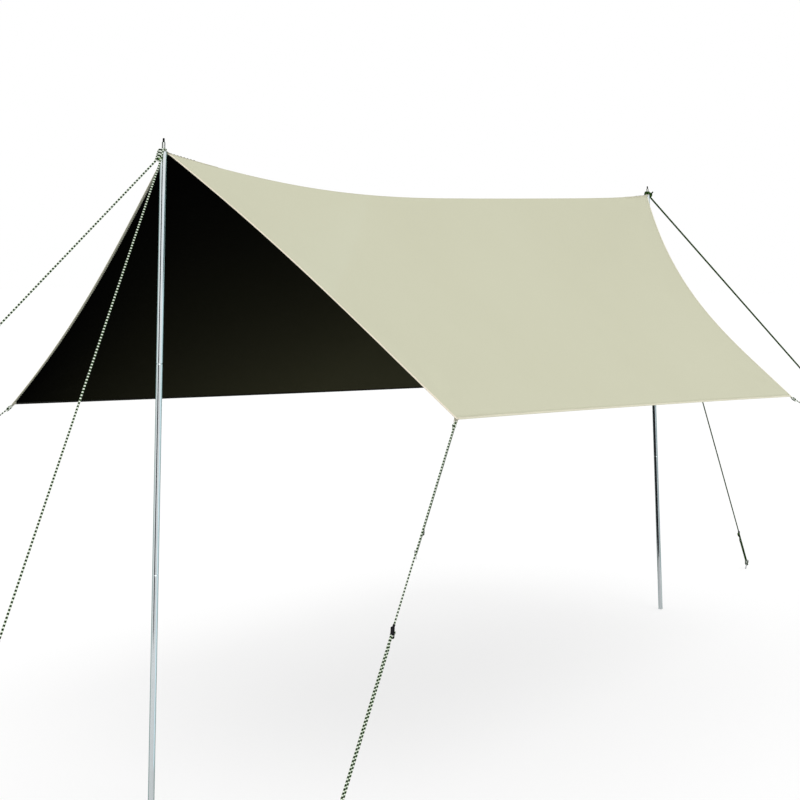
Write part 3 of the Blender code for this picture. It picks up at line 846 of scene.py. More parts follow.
class Finishes:
    """Every material of the tent, made once."""

    def __init__(self, effects: Effects) -> None:
        """Builds the materials."""
        self.effects = effects
        self.outer_cloth = CoatedCloth(
            "beige_outer_cloth", 0.8, specular=0.2, colour=(0.602, 0.602, 0.452), worn=(0.556, 0.552, 0.408),
        ).make(effects)
        # The black underside gets painted light from the floor, paler towards the back and the eaves.
        self.inner_cloth = CoatedCloth(
            "black_inner_coating", 0.9, specular=0.008, colour=(0.0004, 0.0004, 0.0003),
            worn=(0.0012, 0.0012, 0.0009), painted_light=(0.041, 0.041, 0.022), amount=0.8,
        ).make(effects)
        self.cream_tape = self.tape("cream_binding_tape", (0.95, 0.87, 0.71), (0.80, 0.73, 0.58))
        self.beige_tape = self.tape("beige_binding_tape", (0.80, 0.78, 0.61), (0.70, 0.68, 0.53))
        self.grey_tape = self.tape("grey_green_binding_tape", (0.50, 0.51, 0.40), (0.30, 0.30, 0.23))
        self.black_tape = self.tape(
            "black_binding_tape", (0.004, 0.004, 0.003), (0.010, 0.010, 0.008), specular=0.03,
        )
        self.strap = self.tape(
            "beige_ridge_strap", (0.63, 0.62, 0.47), (0.52, 0.51, 0.38), rib=0.0018, depth=0.0004,
        )
        self.webbing = self.tape(
            "grey_beige_webbing", (0.62, 0.61, 0.50), (0.42, 0.41, 0.32), rib=0.0022, depth=0.0006,
        )
        # The ropes' edge colours are painted shade at the rim.
        self.rope = BraidedRope("pale_marked_rope", 0.7, specular=0.15).make(effects)
        self.wrapped_rope = BraidedRope("wrapped_rope", 0.7, specular=0.15, pitch=0.055).make(effects)
        self.green_rope = BraidedRope(
            "green_marked_rope", 0.8, specular=0.05, pale=(0.060, 0.150, 0.025), green=(0.022, 0.060, 0.010),
            dark=(0.002, 0.005, 0.002), edge=(0.004, 0.010, 0.003),
        ).make(effects)
        # The rim colours of the pole, spike, eyelet and peg are painted reflections at the grazing edge.
        self.pole = BareMetal(
            "galvanised_pole_steel", 0.11, metallic=1.0, specular=0.1, colour=(0.88, 0.94, 0.96),
            worn=(0.70, 0.77, 0.80), rim=(0.14, 0.28, 0.26), painted_rim_metallic=0.1, painted_rim_band=(0.18, 0.46),
        ).make(effects)
        self.spike = BareMetal(
            "bright_spike_steel", 0.18, metallic=0.35, specular=0.0, colour=(0.95, 0.96, 0.93),
            worn=(0.86, 0.88, 0.85), rim=(0.010, 0.030, 0.015), painted_rim_metallic=0.0, painted_rim_band=(0.05, 0.15),
        ).make(effects)
        self.eyelet = BareMetal(
            "nickel_eyelet", 0.22, metallic=1.0, colour=(0.78, 0.76, 0.70), worn=(0.50, 0.48, 0.42),
        ).make(effects)
        self.peg = BareMetal(
            "zinc_peg_wire", 0.38, metallic=1.0, colour=(0.60, 0.61, 0.63), worn=(0.36, 0.35, 0.33),
            rim=(0.25, 0.25, 0.25), streak=0.2, relief=0.00005,
        ).make(effects)
        self.plastic = MouldedPlastic(
            "black_plastic", 0.5, specular=0.1, colour=(0.006, 0.006, 0.007), worn=(0.03, 0.03, 0.035),
        ).make(effects)
        self.tip = MouldedPlastic(
            "black_tip", 0.6, specular=0.0, colour=(0.003, 0.003, 0.003), worn=(0.01, 0.01, 0.01),
        ).make(effects)
        self.pale_thread = SewingThread("cream_thread", 0.6, colour=(0.94, 0.88, 0.74)).make(effects)
        self.dark_thread = SewingThread(
            "grey_green_thread", 0.6, specular=0.2, colour=(0.07, 0.07, 0.05), worn=(0.04, 0.04, 0.03),
        ).make(effects)

    def tape(self, name: str, colour: Colour, worn: Colour, **settings: float) -> Material:
        """The material of a tape or a webbing."""
        values = {"specular": 0.2, **settings}
        return WovenTape(name, 0.85, colour=colour, worn=worn, **values).make(self.effects)


# Places shared by the cloth, the poles and the lines

@dataclass(frozen=True)
class Layout:
    """Where the poles stand and the cloth hangs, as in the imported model."""

    pole_height: float = 2.0
    pole_radius: float = 0.0095
    top_x: Pair = (0.07, 3.32)
    foot_x: Pair = (0.0, 3.49)
    corner: Mapping[tuple[int, int], Place] = field(default_factory=lambda: {
        (0, 1): (0.256, 0.893, 1.193),
        (0, -1): (0.296, -0.882, 1.242),
        (1, -1): (3.076, -0.799, 1.103),
        (1, 1): (3.088, 0.860, 1.073),
    })
    gable_curve: Mapping[tuple[int, int], tuple[float, float, float]] = field(default_factory=lambda: {
        (0, 1): (0.061, -0.015, -0.31),
        (0, -1): (0.050, 0.006, 0.50),
        (1, -1): (0.108, 0.091, 0.45),
        (1, 1): (0.108, 0.091, 0.45),
    })
    eave_inset: float = 0.027
    ridge_sag: float = 0.076
    ridge_fullness: float = 2.56
    ridge_skew: float = 0.018
    apex_inset: float = 0.0105
    apex_blend: float = 4

    def foot(self, end: End) -> Vector:
        """Where the pole's axis meets the ground."""
        return Vector((self.foot_x[end.value], 0, 0))

    def top(self, end: End) -> Vector:
        """Where the pole's axis meets its flat top."""
        return Vector((self.top_x[end.value], 0, self.pole_height))

    def pole_matrix(self, end: End) -> Matrix:
        """Carries a piece on the Z axis to the leaning pole."""
        axis = self.top(end) - self.foot(end)
        return Matrix.Translation(self.foot(end)) @ Matrix.Rotation(math.atan2(axis.x, axis.z), 4, "Y")

    def pole_length(self, end: End) -> float:
        """The pole's length along its axis."""
        return (self.top(end) - self.foot(end)).length

    def on_spike(self, end: End, height: float) -> Vector:
        """A point on the spike's axis, this far above the pole's top."""
        axis = (self.top(end) - self.foot(end)).normalized()
        return self.top(end) + axis * (height / axis.z)

    def corner_point(self, end: int, side: int) -> Vector:
        """A corner of the cloth."""
        return Vector(self.corner[end, side])

    def crest_height(self, x: float) -> float:
        """Height of the visible crest at x."""
        t = (x - self.top_x[0]) / (self.top_x[1] - self.top_x[0])
        sag = self.ridge_sag * (1 - abs(2 * t - 1) ** self.ridge_fullness)
        return self.pole_height - sag - self.ridge_skew * math.sin(2 * math.pi * t)


@dataclass(frozen=True)
class ClothForm:
    """The cloth's middle surface: hung from the ridge and drawn down to four corners."""

    layout: Layout
    crest_drop: float = -0.0008
    crest_radius: float = 0.0025
    crest_reach: float = 0.03
    length: float = 2.9
    slope: float = 1.2
    pull_lines: tuple[tuple[float, float, int, float], ...] = (
        (0.0, 1.0, 5, 0.0042), (1.0, 1.0, 4, 0.0048), (0.0, 0.0, 3, 0.0024), (1.0, 0.0, 4, 0.0028),
    )
    pull_fade: float = 0.34
    pull_start: float = 0.12
    pull_unevenness: float = 0.35
    crest_step: float = 0.02
    over_step: float = 0.01
    normal_step: float = 0.004

    def ridge_point(self, u: float) -> Vector:
        """The crest line, from the front (0) to the back (1)."""
        lay = self.layout
        x = (lay.top_x[0] + lay.apex_inset) * (1 - u) + (lay.top_x[1] - lay.apex_inset) * u
        return Vector((x, 0, lay.crest_height(x) - self.crest_drop))

    def gable_point(self, end: int, side: int, v: float) -> Vector:
        """The gable edge from the apex (0) down to the corner (1)."""
        inset, sag, high = self.layout.gable_curve[end, side]
        inwards = 1 - 2 * end
        bow = 4 * v * (1 - v) * (1 + high * (1 - 2 * v))
        shift = -inwards * self.layout.apex_inset * (1 - (1 - v) ** self.layout.apex_blend) * (1 - v)
        point = self.ridge_point(end).lerp(self.layout.corner_point(end, side), v)
        return point + Vector((inwards * inset * bow + shift, 0, -sag * bow))

    def eave_point(self, side: int, u: float) -> Vector:
        """The lower edge, from the front corner (0) to the back corner (1)."""
        point = self.layout.corner_point(0, side).lerp(self.layout.corner_point(1, side), u)
        return point - Vector((0, side * self.layout.eave_inset * 4 * u * (1 - u), 0))

    def plain_point(self, side: int, u: float, v: float) -> Vector:
        """One slope, blended between its four edges."""
        along = self.ridge_point(u).lerp(self.eave_point(side, u), v)
        down = self.gable_point(0, side, v).lerp(self.gable_point(1, side, v), u)
        top = self.ridge_point(0).lerp(self.ridge_point(1), u)
        bottom = self.layout.corner_point(0, side).lerp(self.layout.corner_point(1, side), u)
        return along + down - top.lerp(bottom, v)

    def pull(self, side: int, u: float, v: float) -> float:
        """Height of the shallow folds that run out from the corners and the apexes."""
        height = 0.0
        for corner_u, corner_v, count, depth in self.pull_lines:
            away, up = abs(u - corner_u) * self.length, abs(v - corner_v) * self.slope
            distance = math.hypot(away, up)
            if distance < TINY:
                continue
            angle = math.atan2(up, away)
            fade = math.exp(-distance / self.pull_fade) * (1 - math.exp(-((distance / self.pull_start) ** 2)))
            uneven = 1 + self.pull_unevenness * math.sin(3 * angle + side + corner_u)
            height += depth * fade * uneven * math.sin(2 * count * angle)
        return height

    def point(self, side: int, u: float, v: float) -> Vector:
        """The finished surface, with its crest rounded and its folds.

        Args:
            side: -1 for the near slope and +1 for the far one.
            u: Share of the way from the front gable to the back one.
            v: Share of the way from the crest to the eave.

        Returns:
            The point.
        """
        point = self.plain_point(side, u, v)
        across = abs(point.y)
        if across < self.crest_reach:
            lower = self.plain_point(side, u, v + self.crest_step)
            steep = (point.z - lower.z) / (abs(lower.y) - across)
            point.z -= steep * (math.hypot(across, self.crest_radius) - across)
        point.z += self.pull(side, u, v)
        return point

    def over(self, x: float, y: float) -> Vector:
        """The surface near the crest, above or below this point of the plan."""
        side = 1 if y > 0 else -1
        first, last = self.ridge_point(0).x, self.ridge_point(1).x
        u = min(max((x - first) / (last - first), 0), 1)
        v = self.over_step * abs(y / self.plain_point(side, u, self.over_step).y)
        return self.point(side, u, v)

    def across_share(self, width: float, side: int, v: float) -> float:
        """The share of u that this width takes at v."""
        return width / (self.plain_point(side, 1, v) - self.plain_point(side, 0, v)).length

    def down_share(self, width: float, side: int, u: float) -> float:
        """The share of v that this width takes at u."""
        return width / (self.plain_point(side, u, 1) - self.plain_point(side, u, 0)).length

    def normal(self, side: int, u: float, v: float) -> Vector:
        """The upward normal."""
        step = self.normal_step
        along = self.point(side, min(u + step, 1), v) - self.point(side, max(u - step, 0), v)
        down = self.point(side, u, min(v + step, 1)) - self.point(side, u, max(v - step, 0))
        return upwards(along.cross(down).normalized())


# Sewing

@dataclass
class Stitching:
    """Rows of stitches, gathered from the pieces that they hold and made as one mesh.

    The shape gives, for each ring of a stitch, its place along, its height and its thickness.
    """

    name: str
    length: float = 0.0036
    pitch: float = 0.0052
    radius: float = 0.00034
    rise: float = 0.00022
    sides: int = 5
    shape: tuple[tuple[float, float, float], ...] = (
        (-0.5, -0.9, 0.55), (-0.36, 0.0, 0.9), (0.0, 0.35, 1.0), (0.36, 0.0, 0.9), (0.5, -0.9, 0.55),
    )
    places: list[Matrix] = field(default_factory=list)

    def row(self, points: Sequence[Vector], normals: Sequence[Vector]) -> None:
        """Adds stitches along a line.

        Args:
            points: The line, on the surface.
            normals: The surface's outward normal at each point.
        """
        line = as_array(points)
        lengths = running_length(line)
        count = int(lengths[-1] / self.pitch)
        for index in range(count):
            middle = (index + 0.5) * lengths[-1] / count
            start, end = (point_along(line, lengths, middle + half * self.length / 2) for half in (-1, 1))
            along = (end - start).normalized()
            nearest = min(int(np.searchsorted(lengths, middle)), len(normals) - 1)
            up = normals[nearest]
            up = (up - along * up.dot(along)).normalized()
            origin = (start + end) / 2 + up * self.rise
            self.places.append(frame_matrix(origin, along, up.cross(along), up))

    def pattern(self) -> tuple[np.ndarray, np.ndarray]:
        """Points and faces of one stitch: a short thread whose ends dive into the cloth."""
        verts = []
        for share, lift, thick in self.shape:
            for side in range(self.sides):
                angle = 2 * math.pi * side / self.sides
                verts.append((
                    share * self.length,
                    math.cos(angle) * self.radius * thick,
                    lift * self.radius + math.sin(angle) * self.radius * thick,
                ))
        ring, side = np.meshgrid(np.arange(len(self.shape) - 1), np.arange(self.sides), indexing="ij")
        near, far, following = ring * self.sides, (ring + 1) * self.sides, (side + 1) % self.sides
        quads = np.stack([near + side, far + side, far + following, near + following], -1).reshape(-1, 4)
        return np.array(verts), quads

    def make(self, material: Material, slot: Slot) -> Object:
        """Makes every stitch of these rows in one mesh.

        Args:
            material: The thread.
            slot: The record's slot.

        Returns:
            The piece.
        """
        verts, quads = self.pattern()
        placed = np.array([[list(row) for row in place] for place in self.places])
        every = np.einsum("nij,vj->nvi", placed[:, :3, :3], verts) + placed[:, None, :3, 3]
        faces = quads[None] + (np.arange(len(placed)) * len(verts))[:, None, None]
        mesh = bpy.data.meshes.new(self.name)
        mesh.from_pydata(every.reshape(-1, 3).tolist(), [], faces.reshape(-1, 4).tolist())
        mesh.shade_smooth()
        obj = link(self.name, mesh)
        edit(
            obj,
            lambda: bpy.ops.mesh.fill_holes(sides=8),
            lambda: bpy.ops.mesh.normals_make_consistent(inside=False),
        )
        return dress(obj, [material], slot)


# Cloth

@dataclass
class Canopy:
    """One cloth over the ridge, bound round its edge and sewn."""

    form: ClothForm
    finishes: Finishes
    thickness: float = 0.0008
    columns: int = 168
    rows: int = 62
    crest_rows: tuple[float, ...] = (0.0, 0.0012, 0.0026, 0.0045, 0.0075, 0.0125)
    top_leg: float = 0.0066
    under_leg: float = 0.0084
    binding: float = 0.00125
    binding_step: float = 0.008
    binding_width: float = 0.032
    binding_gap: float = 0.00005
    gable_gap: float = 0.0004
    edge_samples: int = 60
    thread_height: float = 0.0006
    thread_insets: Pair = (0.0016, 0.0022)
    flat_ridge: float = 3.25
    flat_across: float = 2.45
    seam_offset: float = 0.0045
    seam_from: float = 0.012
    seam_share: float = 0.976
    seam_samples: int = 120

    def slope_shares(self) -> list[float]:
        """v of each row down one slope: close rows at the crest, then even ones."""
        close = [distance / self.form.slope for distance in self.crest_rows]
        even = [close[-1] + (1 - close[-1]) * (step / self.rows) for step in range(1, self.rows + 1)]
        return close + even

    def make_sheet(self) -> Object:
        """The continuous cloth, from the near eave over the crest to the far eave."""
        shares = self.slope_shares()
        last = len(shares) - 1

        def point_at(column: int, row: int) -> Vector:
            """The cloth's middle surface at this column and row."""
            step = row - last
            return self.form.point(1 if step > 0 else -1, column / self.columns, shares[abs(step)])

        def metres(along: float, across: float) -> Pair:
            """How far along the ridge and down its slope a place lies."""
            row = round(across * 2 * last) - last
            return along * self.flat_ridge, math.copysign(shares[abs(row)], row) * self.form.slope

        obj = carried_grid("canopy_cloth", self.columns, 2 * last, point_at)
        map_cloth(obj, metres)
        faces = [self.finishes.outer_cloth, self.finishes.inner_cloth]
        for material in faces:
            obj.data.materials.append(material)
        apply_modifier(
            obj, "SOLIDIFY", thickness=self.thickness, offset=0.0, use_even_offset=True, material_offset=1,
        )
        activate(obj)
        bpy.ops.object.shade_smooth()
        return dress(obj, faces, Slot.CLOTH, ["canopy_near_panel", "canopy_far_panel"])

    def edge_run(self, name: str) -> tuple[Line, Line, float]:
        """One bound edge.

        Args:
            name: The hem's name.

        Returns:
            The edge line from 0 to 1, the same line a little inside the cloth, and its length.
        """
        form, inside = self.form, self.under_leg
        first, second, _ = name.split("_")
        if second == "gable":
            end = End[first.upper()].value

            def edge(s: float) -> Vector:
                """The gable, from the near corner over the apex to the far one."""
                return form.point(1 if s > 0.5 else -1, end, abs(2 * s - 1))

            def inner(s: float) -> Vector:
                """The gable's line a little inside the cloth."""
                side, v = (1 if s > 0.5 else -1), abs(2 * s - 1)
                share = form.across_share(inside, side, v)
                return form.point(side, share if end == 0 else 1 - share, v)
        else:
            side = Side[first.upper()].value
            start = form.across_share(inside + self.gable_gap, side, 1)

            def along(s: float) -> float:
                """u at this share of the eave, between the gables' bindings."""
                return start + (1 - 2 * start) * s

            def edge(s: float) -> Vector:
                """The eave, from the front to the back."""
                return form.point(side, along(s), 1)

            def inner(s: float) -> Vector:
                """The eave's line a little inside the cloth."""
                return form.point(side, along(s), 1 - form.down_share(inside, side, along(s)))

        samples = [edge(step / self.edge_samples) for step in range(self.edge_samples + 1)]
        return edge, inner, lengths_along(samples)[-1]

    def section(self) -> list[tuple[float, float, int]]:
        """The binding's outline: distance in from the cloth's edge, height, and its material."""
        half, fold = self.thickness / 2 + self.binding_gap, self.binding
        top, under = self.top_leg, self.under_leg
        above = [
            (top - 0.0002, half), (top, half + 0.0003), (top - 0.0004, half + 0.00055),
            (0.0035, fold * 0.86), (0.0012, fold),
        ]
        angles = [math.radians(90 + 30 * step) for step in range(1, 6)]
        edge = [(0.0004 + 0.0014 * math.cos(angle), fold * math.sin(angle)) for angle in angles]
        below = [
            (0.0035, -fold), (0.0060, -fold * 0.9), (under - 0.0004, -half - 0.0005),
            (under, -half - 0.00025), (under - 0.0002, -half), (0.0005, -half), (0.0002, 0.0),
        ]
        outer = [(*point, 0) for point in above + edge[:3]]
        inner = [(*point, 1) for point in edge[3:] + below]
        return outer + inner + [(0.0005, half, 0)]

    def make_binding(self, name: str) -> tuple[Object, list[tuple[Vector, Vector, Vector]]]:
        """The tape folded over one edge.

        Args:
            name: The hem's node, such as near_eave_hem.

        Returns:
            The tape, and the point, inward direction and normal at each step of its edge.
        """
        edge, inner, length = self.edge_run(name)
        count = round(length / self.binding_step / 2) * 2
        frames = []
        for index in range(count + 1):
            s = index / count
            point = edge(s)
            tangent = edge(min(s + 0.5 / count, 1)) - edge(max(s - 0.5 / count, 0))
            inward = inner(s) - point
            normal = upwards(tangent.cross(inward).normalized())
            tangent.normalize()
            inward = (inward - tangent * inward.dot(tangent)).normalized()
            frames.append((point, inward, normal))
        outline = self.section()
        rounds = len(outline)

        def point_at(column: int, row: int) -> Vector:
            """A point of the outline, carried along the edge."""
            point, inward, normal = frames[column]
            distance, height, _ = outline[row % rounds]
            return point + inward * distance + normal * height

        obj = carried_grid(name.replace("_hem", "_binding"), count, rounds, point_at)
        uv = obj.data.uv_layers[0].data
        for polygon in obj.data.polygons:
            row = min(round(uv[index].uv.y * rounds) for index in polygon.loop_indices)
            polygon.material_index = outline[row % rounds][2]
        map_cloth(obj, lambda along, around: (along * length, around * self.binding_width))
        close_seam(obj)
        smooth_shade(obj, 60)
        dress(obj, self.tapes(name), Slot.HEM, [name])
        return obj, frames

    def tapes(self, name: str) -> list[Material]:
        """A hem's finish above and below."""
        have = self.finishes
        if name.endswith("eave_hem"):
            return [have.beige_tape, have.black_tape]
        return [have.cream_tape if name.startswith("front") else have.beige_tape, have.grey_tape]

    def sew_ridge(self, seam: Stitching) -> None:
        """Adds a row of stitches on each side of the crest."""
        v = self.seam_offset / self.form.slope
        for side in (-1, 1):
            points, normals = [], []
            for step in range(self.seam_samples + 1):
                u = self.seam_from + self.seam_share * step / self.seam_samples
                normal = self.form.normal(side, u, max(v, self.form.normal_step))
                points.append(self.form.point(side, u, v) + normal * (self.thickness / 2))
                normals.append(normal)
            seam.row(points, normals)

    def build(self) -> None:
        """Makes the cloth, its bindings and its stitches."""
        cloth = self.make_sheet()
        upper = Stitching("binding_stitches_above", length=0.0050, pitch=0.0080, radius=0.0007, rise=0.0003)
        under = Stitching("binding_stitches_below", length=0.0060, pitch=0.0095, radius=0.0010, rise=0.0003)
        seam = Stitching("ridge_seam_stitches")
        height = self.thickness / 2 + self.thread_height
        top_line, under_line = self.top_leg - self.thread_insets[0], self.under_leg - self.thread_insets[1]
        pieces = []
        for name in ("front_gable_hem", "back_gable_hem", "near_eave_hem", "far_eave_hem"):
            piece, frames = self.make_binding(name)
            pieces.append(piece)
            for rows, distance, sign in ((upper, top_line, 1), (under, under_line, -1)):
                line = [
                    point + inward * distance + normal * (sign * height) for point, inward, normal in frames
                ]
                rows.row(line, [normal * sign for _, _, normal in frames])
        self.sew_ridge(seam)
        pieces.append(upper.make(self.finishes.pale_thread, Slot.HEM))
        pieces.append(under.make(self.finishes.dark_thread, Slot.HEM))
        pieces.append(seam.make(self.finishes.strap, Slot.HEM))
        for end in End:
            pieces += RidgeStrap(end, self.form, self.finishes).build()


# Webbing

def strip(
    name: str, line: Sequence[Vector], half_width: Callable[[float], float], rows: int, thickness: float,
    point_at: Callable[[int, float], Vector],
) -> Object:
    """A strip of webbing with its UV map in metres.

    Args:
        name: The object's name.
        line: Its centreline.
        half_width: Half its width at a distance from its start.
        rows: Faces across it.
        thickness: Its thickness.
        point_at: Gives the place of a column and a distance across.

    Returns:
        The solid strip.
    """
    lengths = lengths_along(line)

    def place(column: int, row: int) -> Vector:
        """The place of a column and a row."""
        return point_at(column, (2 * row / rows - 1) * half_width(lengths[column]))

    obj = carried_grid(name, len(line) - 1, rows, place)
    map_cloth(obj, lambda along, across: (along * lengths[-1], across * 2 * half_width(0)))
    apply_modifier(obj, "SOLIDIFY", thickness=thickness, offset=0.0, use_even_offset=True)
    return obj


def cut(obj: Object, cutter: Object) -> None:
    """Takes the cutter's shape out of a piece, and removes the cutter."""
    apply_modifier(obj, "BOOLEAN", object=cutter, operation="DIFFERENCE", solver="EXACT")
    drop(cutter)


@dataclass(frozen=True)
class Eyelet:
    """A rolled metal eyelet, and the hole in the webbing that it is set in."""

    inner: float
    outer: float
    hole: float
    sides: int = 28
    lip: float = 0.0004
    rim: float = 0.0008
    rounding: float = 0.0003

    def punch(self, obj: Object, matrix: Matrix) -> None:
        """Cuts its hole along the matrix's Z axis."""
        deselect_all()
        bpy.ops.mesh.primitive_cylinder_add(vertices=self.sides, radius=self.hole, depth=0.02)
        cutter = bpy.context.object
        cutter.data.transform(matrix)
        cut(obj, cutter)

    def make(self, name: str, half: float, finishes: Finishes, matrix: Matrix) -> Object:
        """The eyelet.

        Args:
            name: Its name.
            half: Half its height at the rim.
            finishes: The materials.
            matrix: Where it goes.

        Returns:
            The piece.
        """
        upper = [
            (self.outer, half - self.rounding), (self.outer - self.rim, half + self.rounding),
            (self.inner + self.lip, half + self.lip), (self.inner, half),
        ]
        lower = [(radius, -height) for radius, height in upper[::-1]]
        obj = turned_piece(name, lower + upper, self.sides, hollow=True)
        smooth_shade(obj, 50)
        settle(obj, matrix)
        return dress(obj, [finishes.eyelet], Slot.WEBBING)


@dataclass
class RidgeStrap:
    """A strap over the crest, from its eye on the spike back along the ridge."""

    end: End
    form: ClothForm
    finishes: Finishes
    beyond: float = 0.011
    length: float = 0.235
    half_width: float = 0.009
    narrowing: float = 0.35
    fold_from: float = 0.0095
    fold_to: float = 0.030
    over_pole: float = 0.0004
    over_crest: float = 0.0006
    eyelet_lift: float = 0.0006
    hem_rise: float = 0.0009
    hem_at: float = 0.0145
    hem_spread: float = 0.005
    thickness: float = 0.0009
    columns: int = 84
    rows: int = 8
    eyelet: Eyelet = Eyelet(inner=0.0053, outer=0.0082, hole=0.0056)
    edge_inset: float = 0.0013
    sewn_from: float = 0.024
    crest_sewn_to: float = 0.14
    edges_sewn_to: float = 0.195

    def fold(self, distance: float) -> float:
        """How far the strap has folded from flat to the cloth's slope."""
        return min(max((distance - self.fold_from) / (self.fold_to - self.fold_from), 0), 1)

    def lies_at(self, distance: float, across: float) -> Vector:
        """A point of the strap's middle surface, this far in from the pole and this far across."""
        layout = self.form.layout
        centre, foot = layout.top(self.end), layout.foot(self.end)
        x = centre.x + self.end.inwards * distance
        pole = centre.z - (x - centre.x) * (centre.x - foot.x) / (centre.z - foot.z)
        crest = self.form.over(x, 0).z
        hem = self.hem_rise * math.exp(-(((distance - self.hem_at) / self.hem_spread) ** 2))
        top = pole + self.over_pole if distance <= self.fold_from else crest + self.over_crest + hem
        fall = self.form.over(x, across).z - crest
        return Vector((x, across, top + self.thickness / 2 + self.fold(distance) * fall))

    def half_at(self, distance: float) -> float:
        """Half the strap's width this far in from the pole."""
        return self.half_width * (1 - self.narrowing * self.fold(distance))

    def sew(self, rows: Stitching, share: float, distances: Sequence[float], last: float) -> None:
        """Adds a row of stitches along the strap.

        Args:
            rows: The stitches that it is one of.
            share: Where it lies, from one edge (-1) to the other (1).
            distances: The strap's steps in from the pole.
            last: How far in from the pole it goes.
        """
        points, normals = [], []
        for distance in distances:
            if not self.sewn_from < distance < last:
                continue
            across = share * (self.half_at(distance) - self.edge_inset)
            inward, outward = self.lies_at(distance - 0.002, across), self.lies_at(distance + 0.002, across)
            beside = self.lies_at(distance, across + 0.001) - self.lies_at(distance, across - 0.001)
            normal = upwards((outward - inward).cross(beside).normalized())
            normals.append(normal)
            points.append(self.lies_at(distance, across) + normal * self.thickness / 2)
        rows.row(points, normals)

    def build(self) -> list[Object]:
        """Makes the strap, its eyelet and its stitches, and returns them."""
        name, layout = self.end.word, self.form.layout
        total = self.beyond + self.length
        distances = [total * step / self.columns - self.beyond for step in range(self.columns + 1)]
        obj = strip(
            f"{name}_ridge_strap", [self.lies_at(distance, 0) for distance in distances],
            lambda along: self.half_at(along - self.beyond), self.rows, self.thickness,
            lambda column, across: self.lies_at(distances[column], across),
        )
        top = layout.pole_matrix(self.end) @ Matrix.Translation((0, 0, layout.pole_length(self.end)))
        self.eyelet.punch(obj, top)
        smooth_shade(obj, 45)
        dress(obj, [self.finishes.strap], Slot.WEBBING, [f"{name}_ridge_tab"])
        eyelet = self.eyelet.make(
            f"{name}_ridge_eyelet", self.thickness / 2, self.finishes,
            top @ Matrix.Translation((0, 0, self.eyelet_lift + self.thickness)),
        )
        edges = Stitching(f"{name}_strap_stitches", length=0.0075, pitch=0.0120, radius=0.0007, rise=0.0003)
        crest = Stitching(f"{name}_crest_stitches", length=0.0095, pitch=0.0140, radius=0.0009, rise=0.0003)
        for share in (-1, 1):
            self.sew(edges, share, distances, self.edges_sewn_to)
        self.sew(crest, 0, distances, self.crest_sewn_to)
        return [
            obj, eyelet, edges.make(self.finishes.pale_thread, Slot.WEBBING),
            crest.make(self.finishes.dark_thread, Slot.WEBBING),
        ]


# Poles

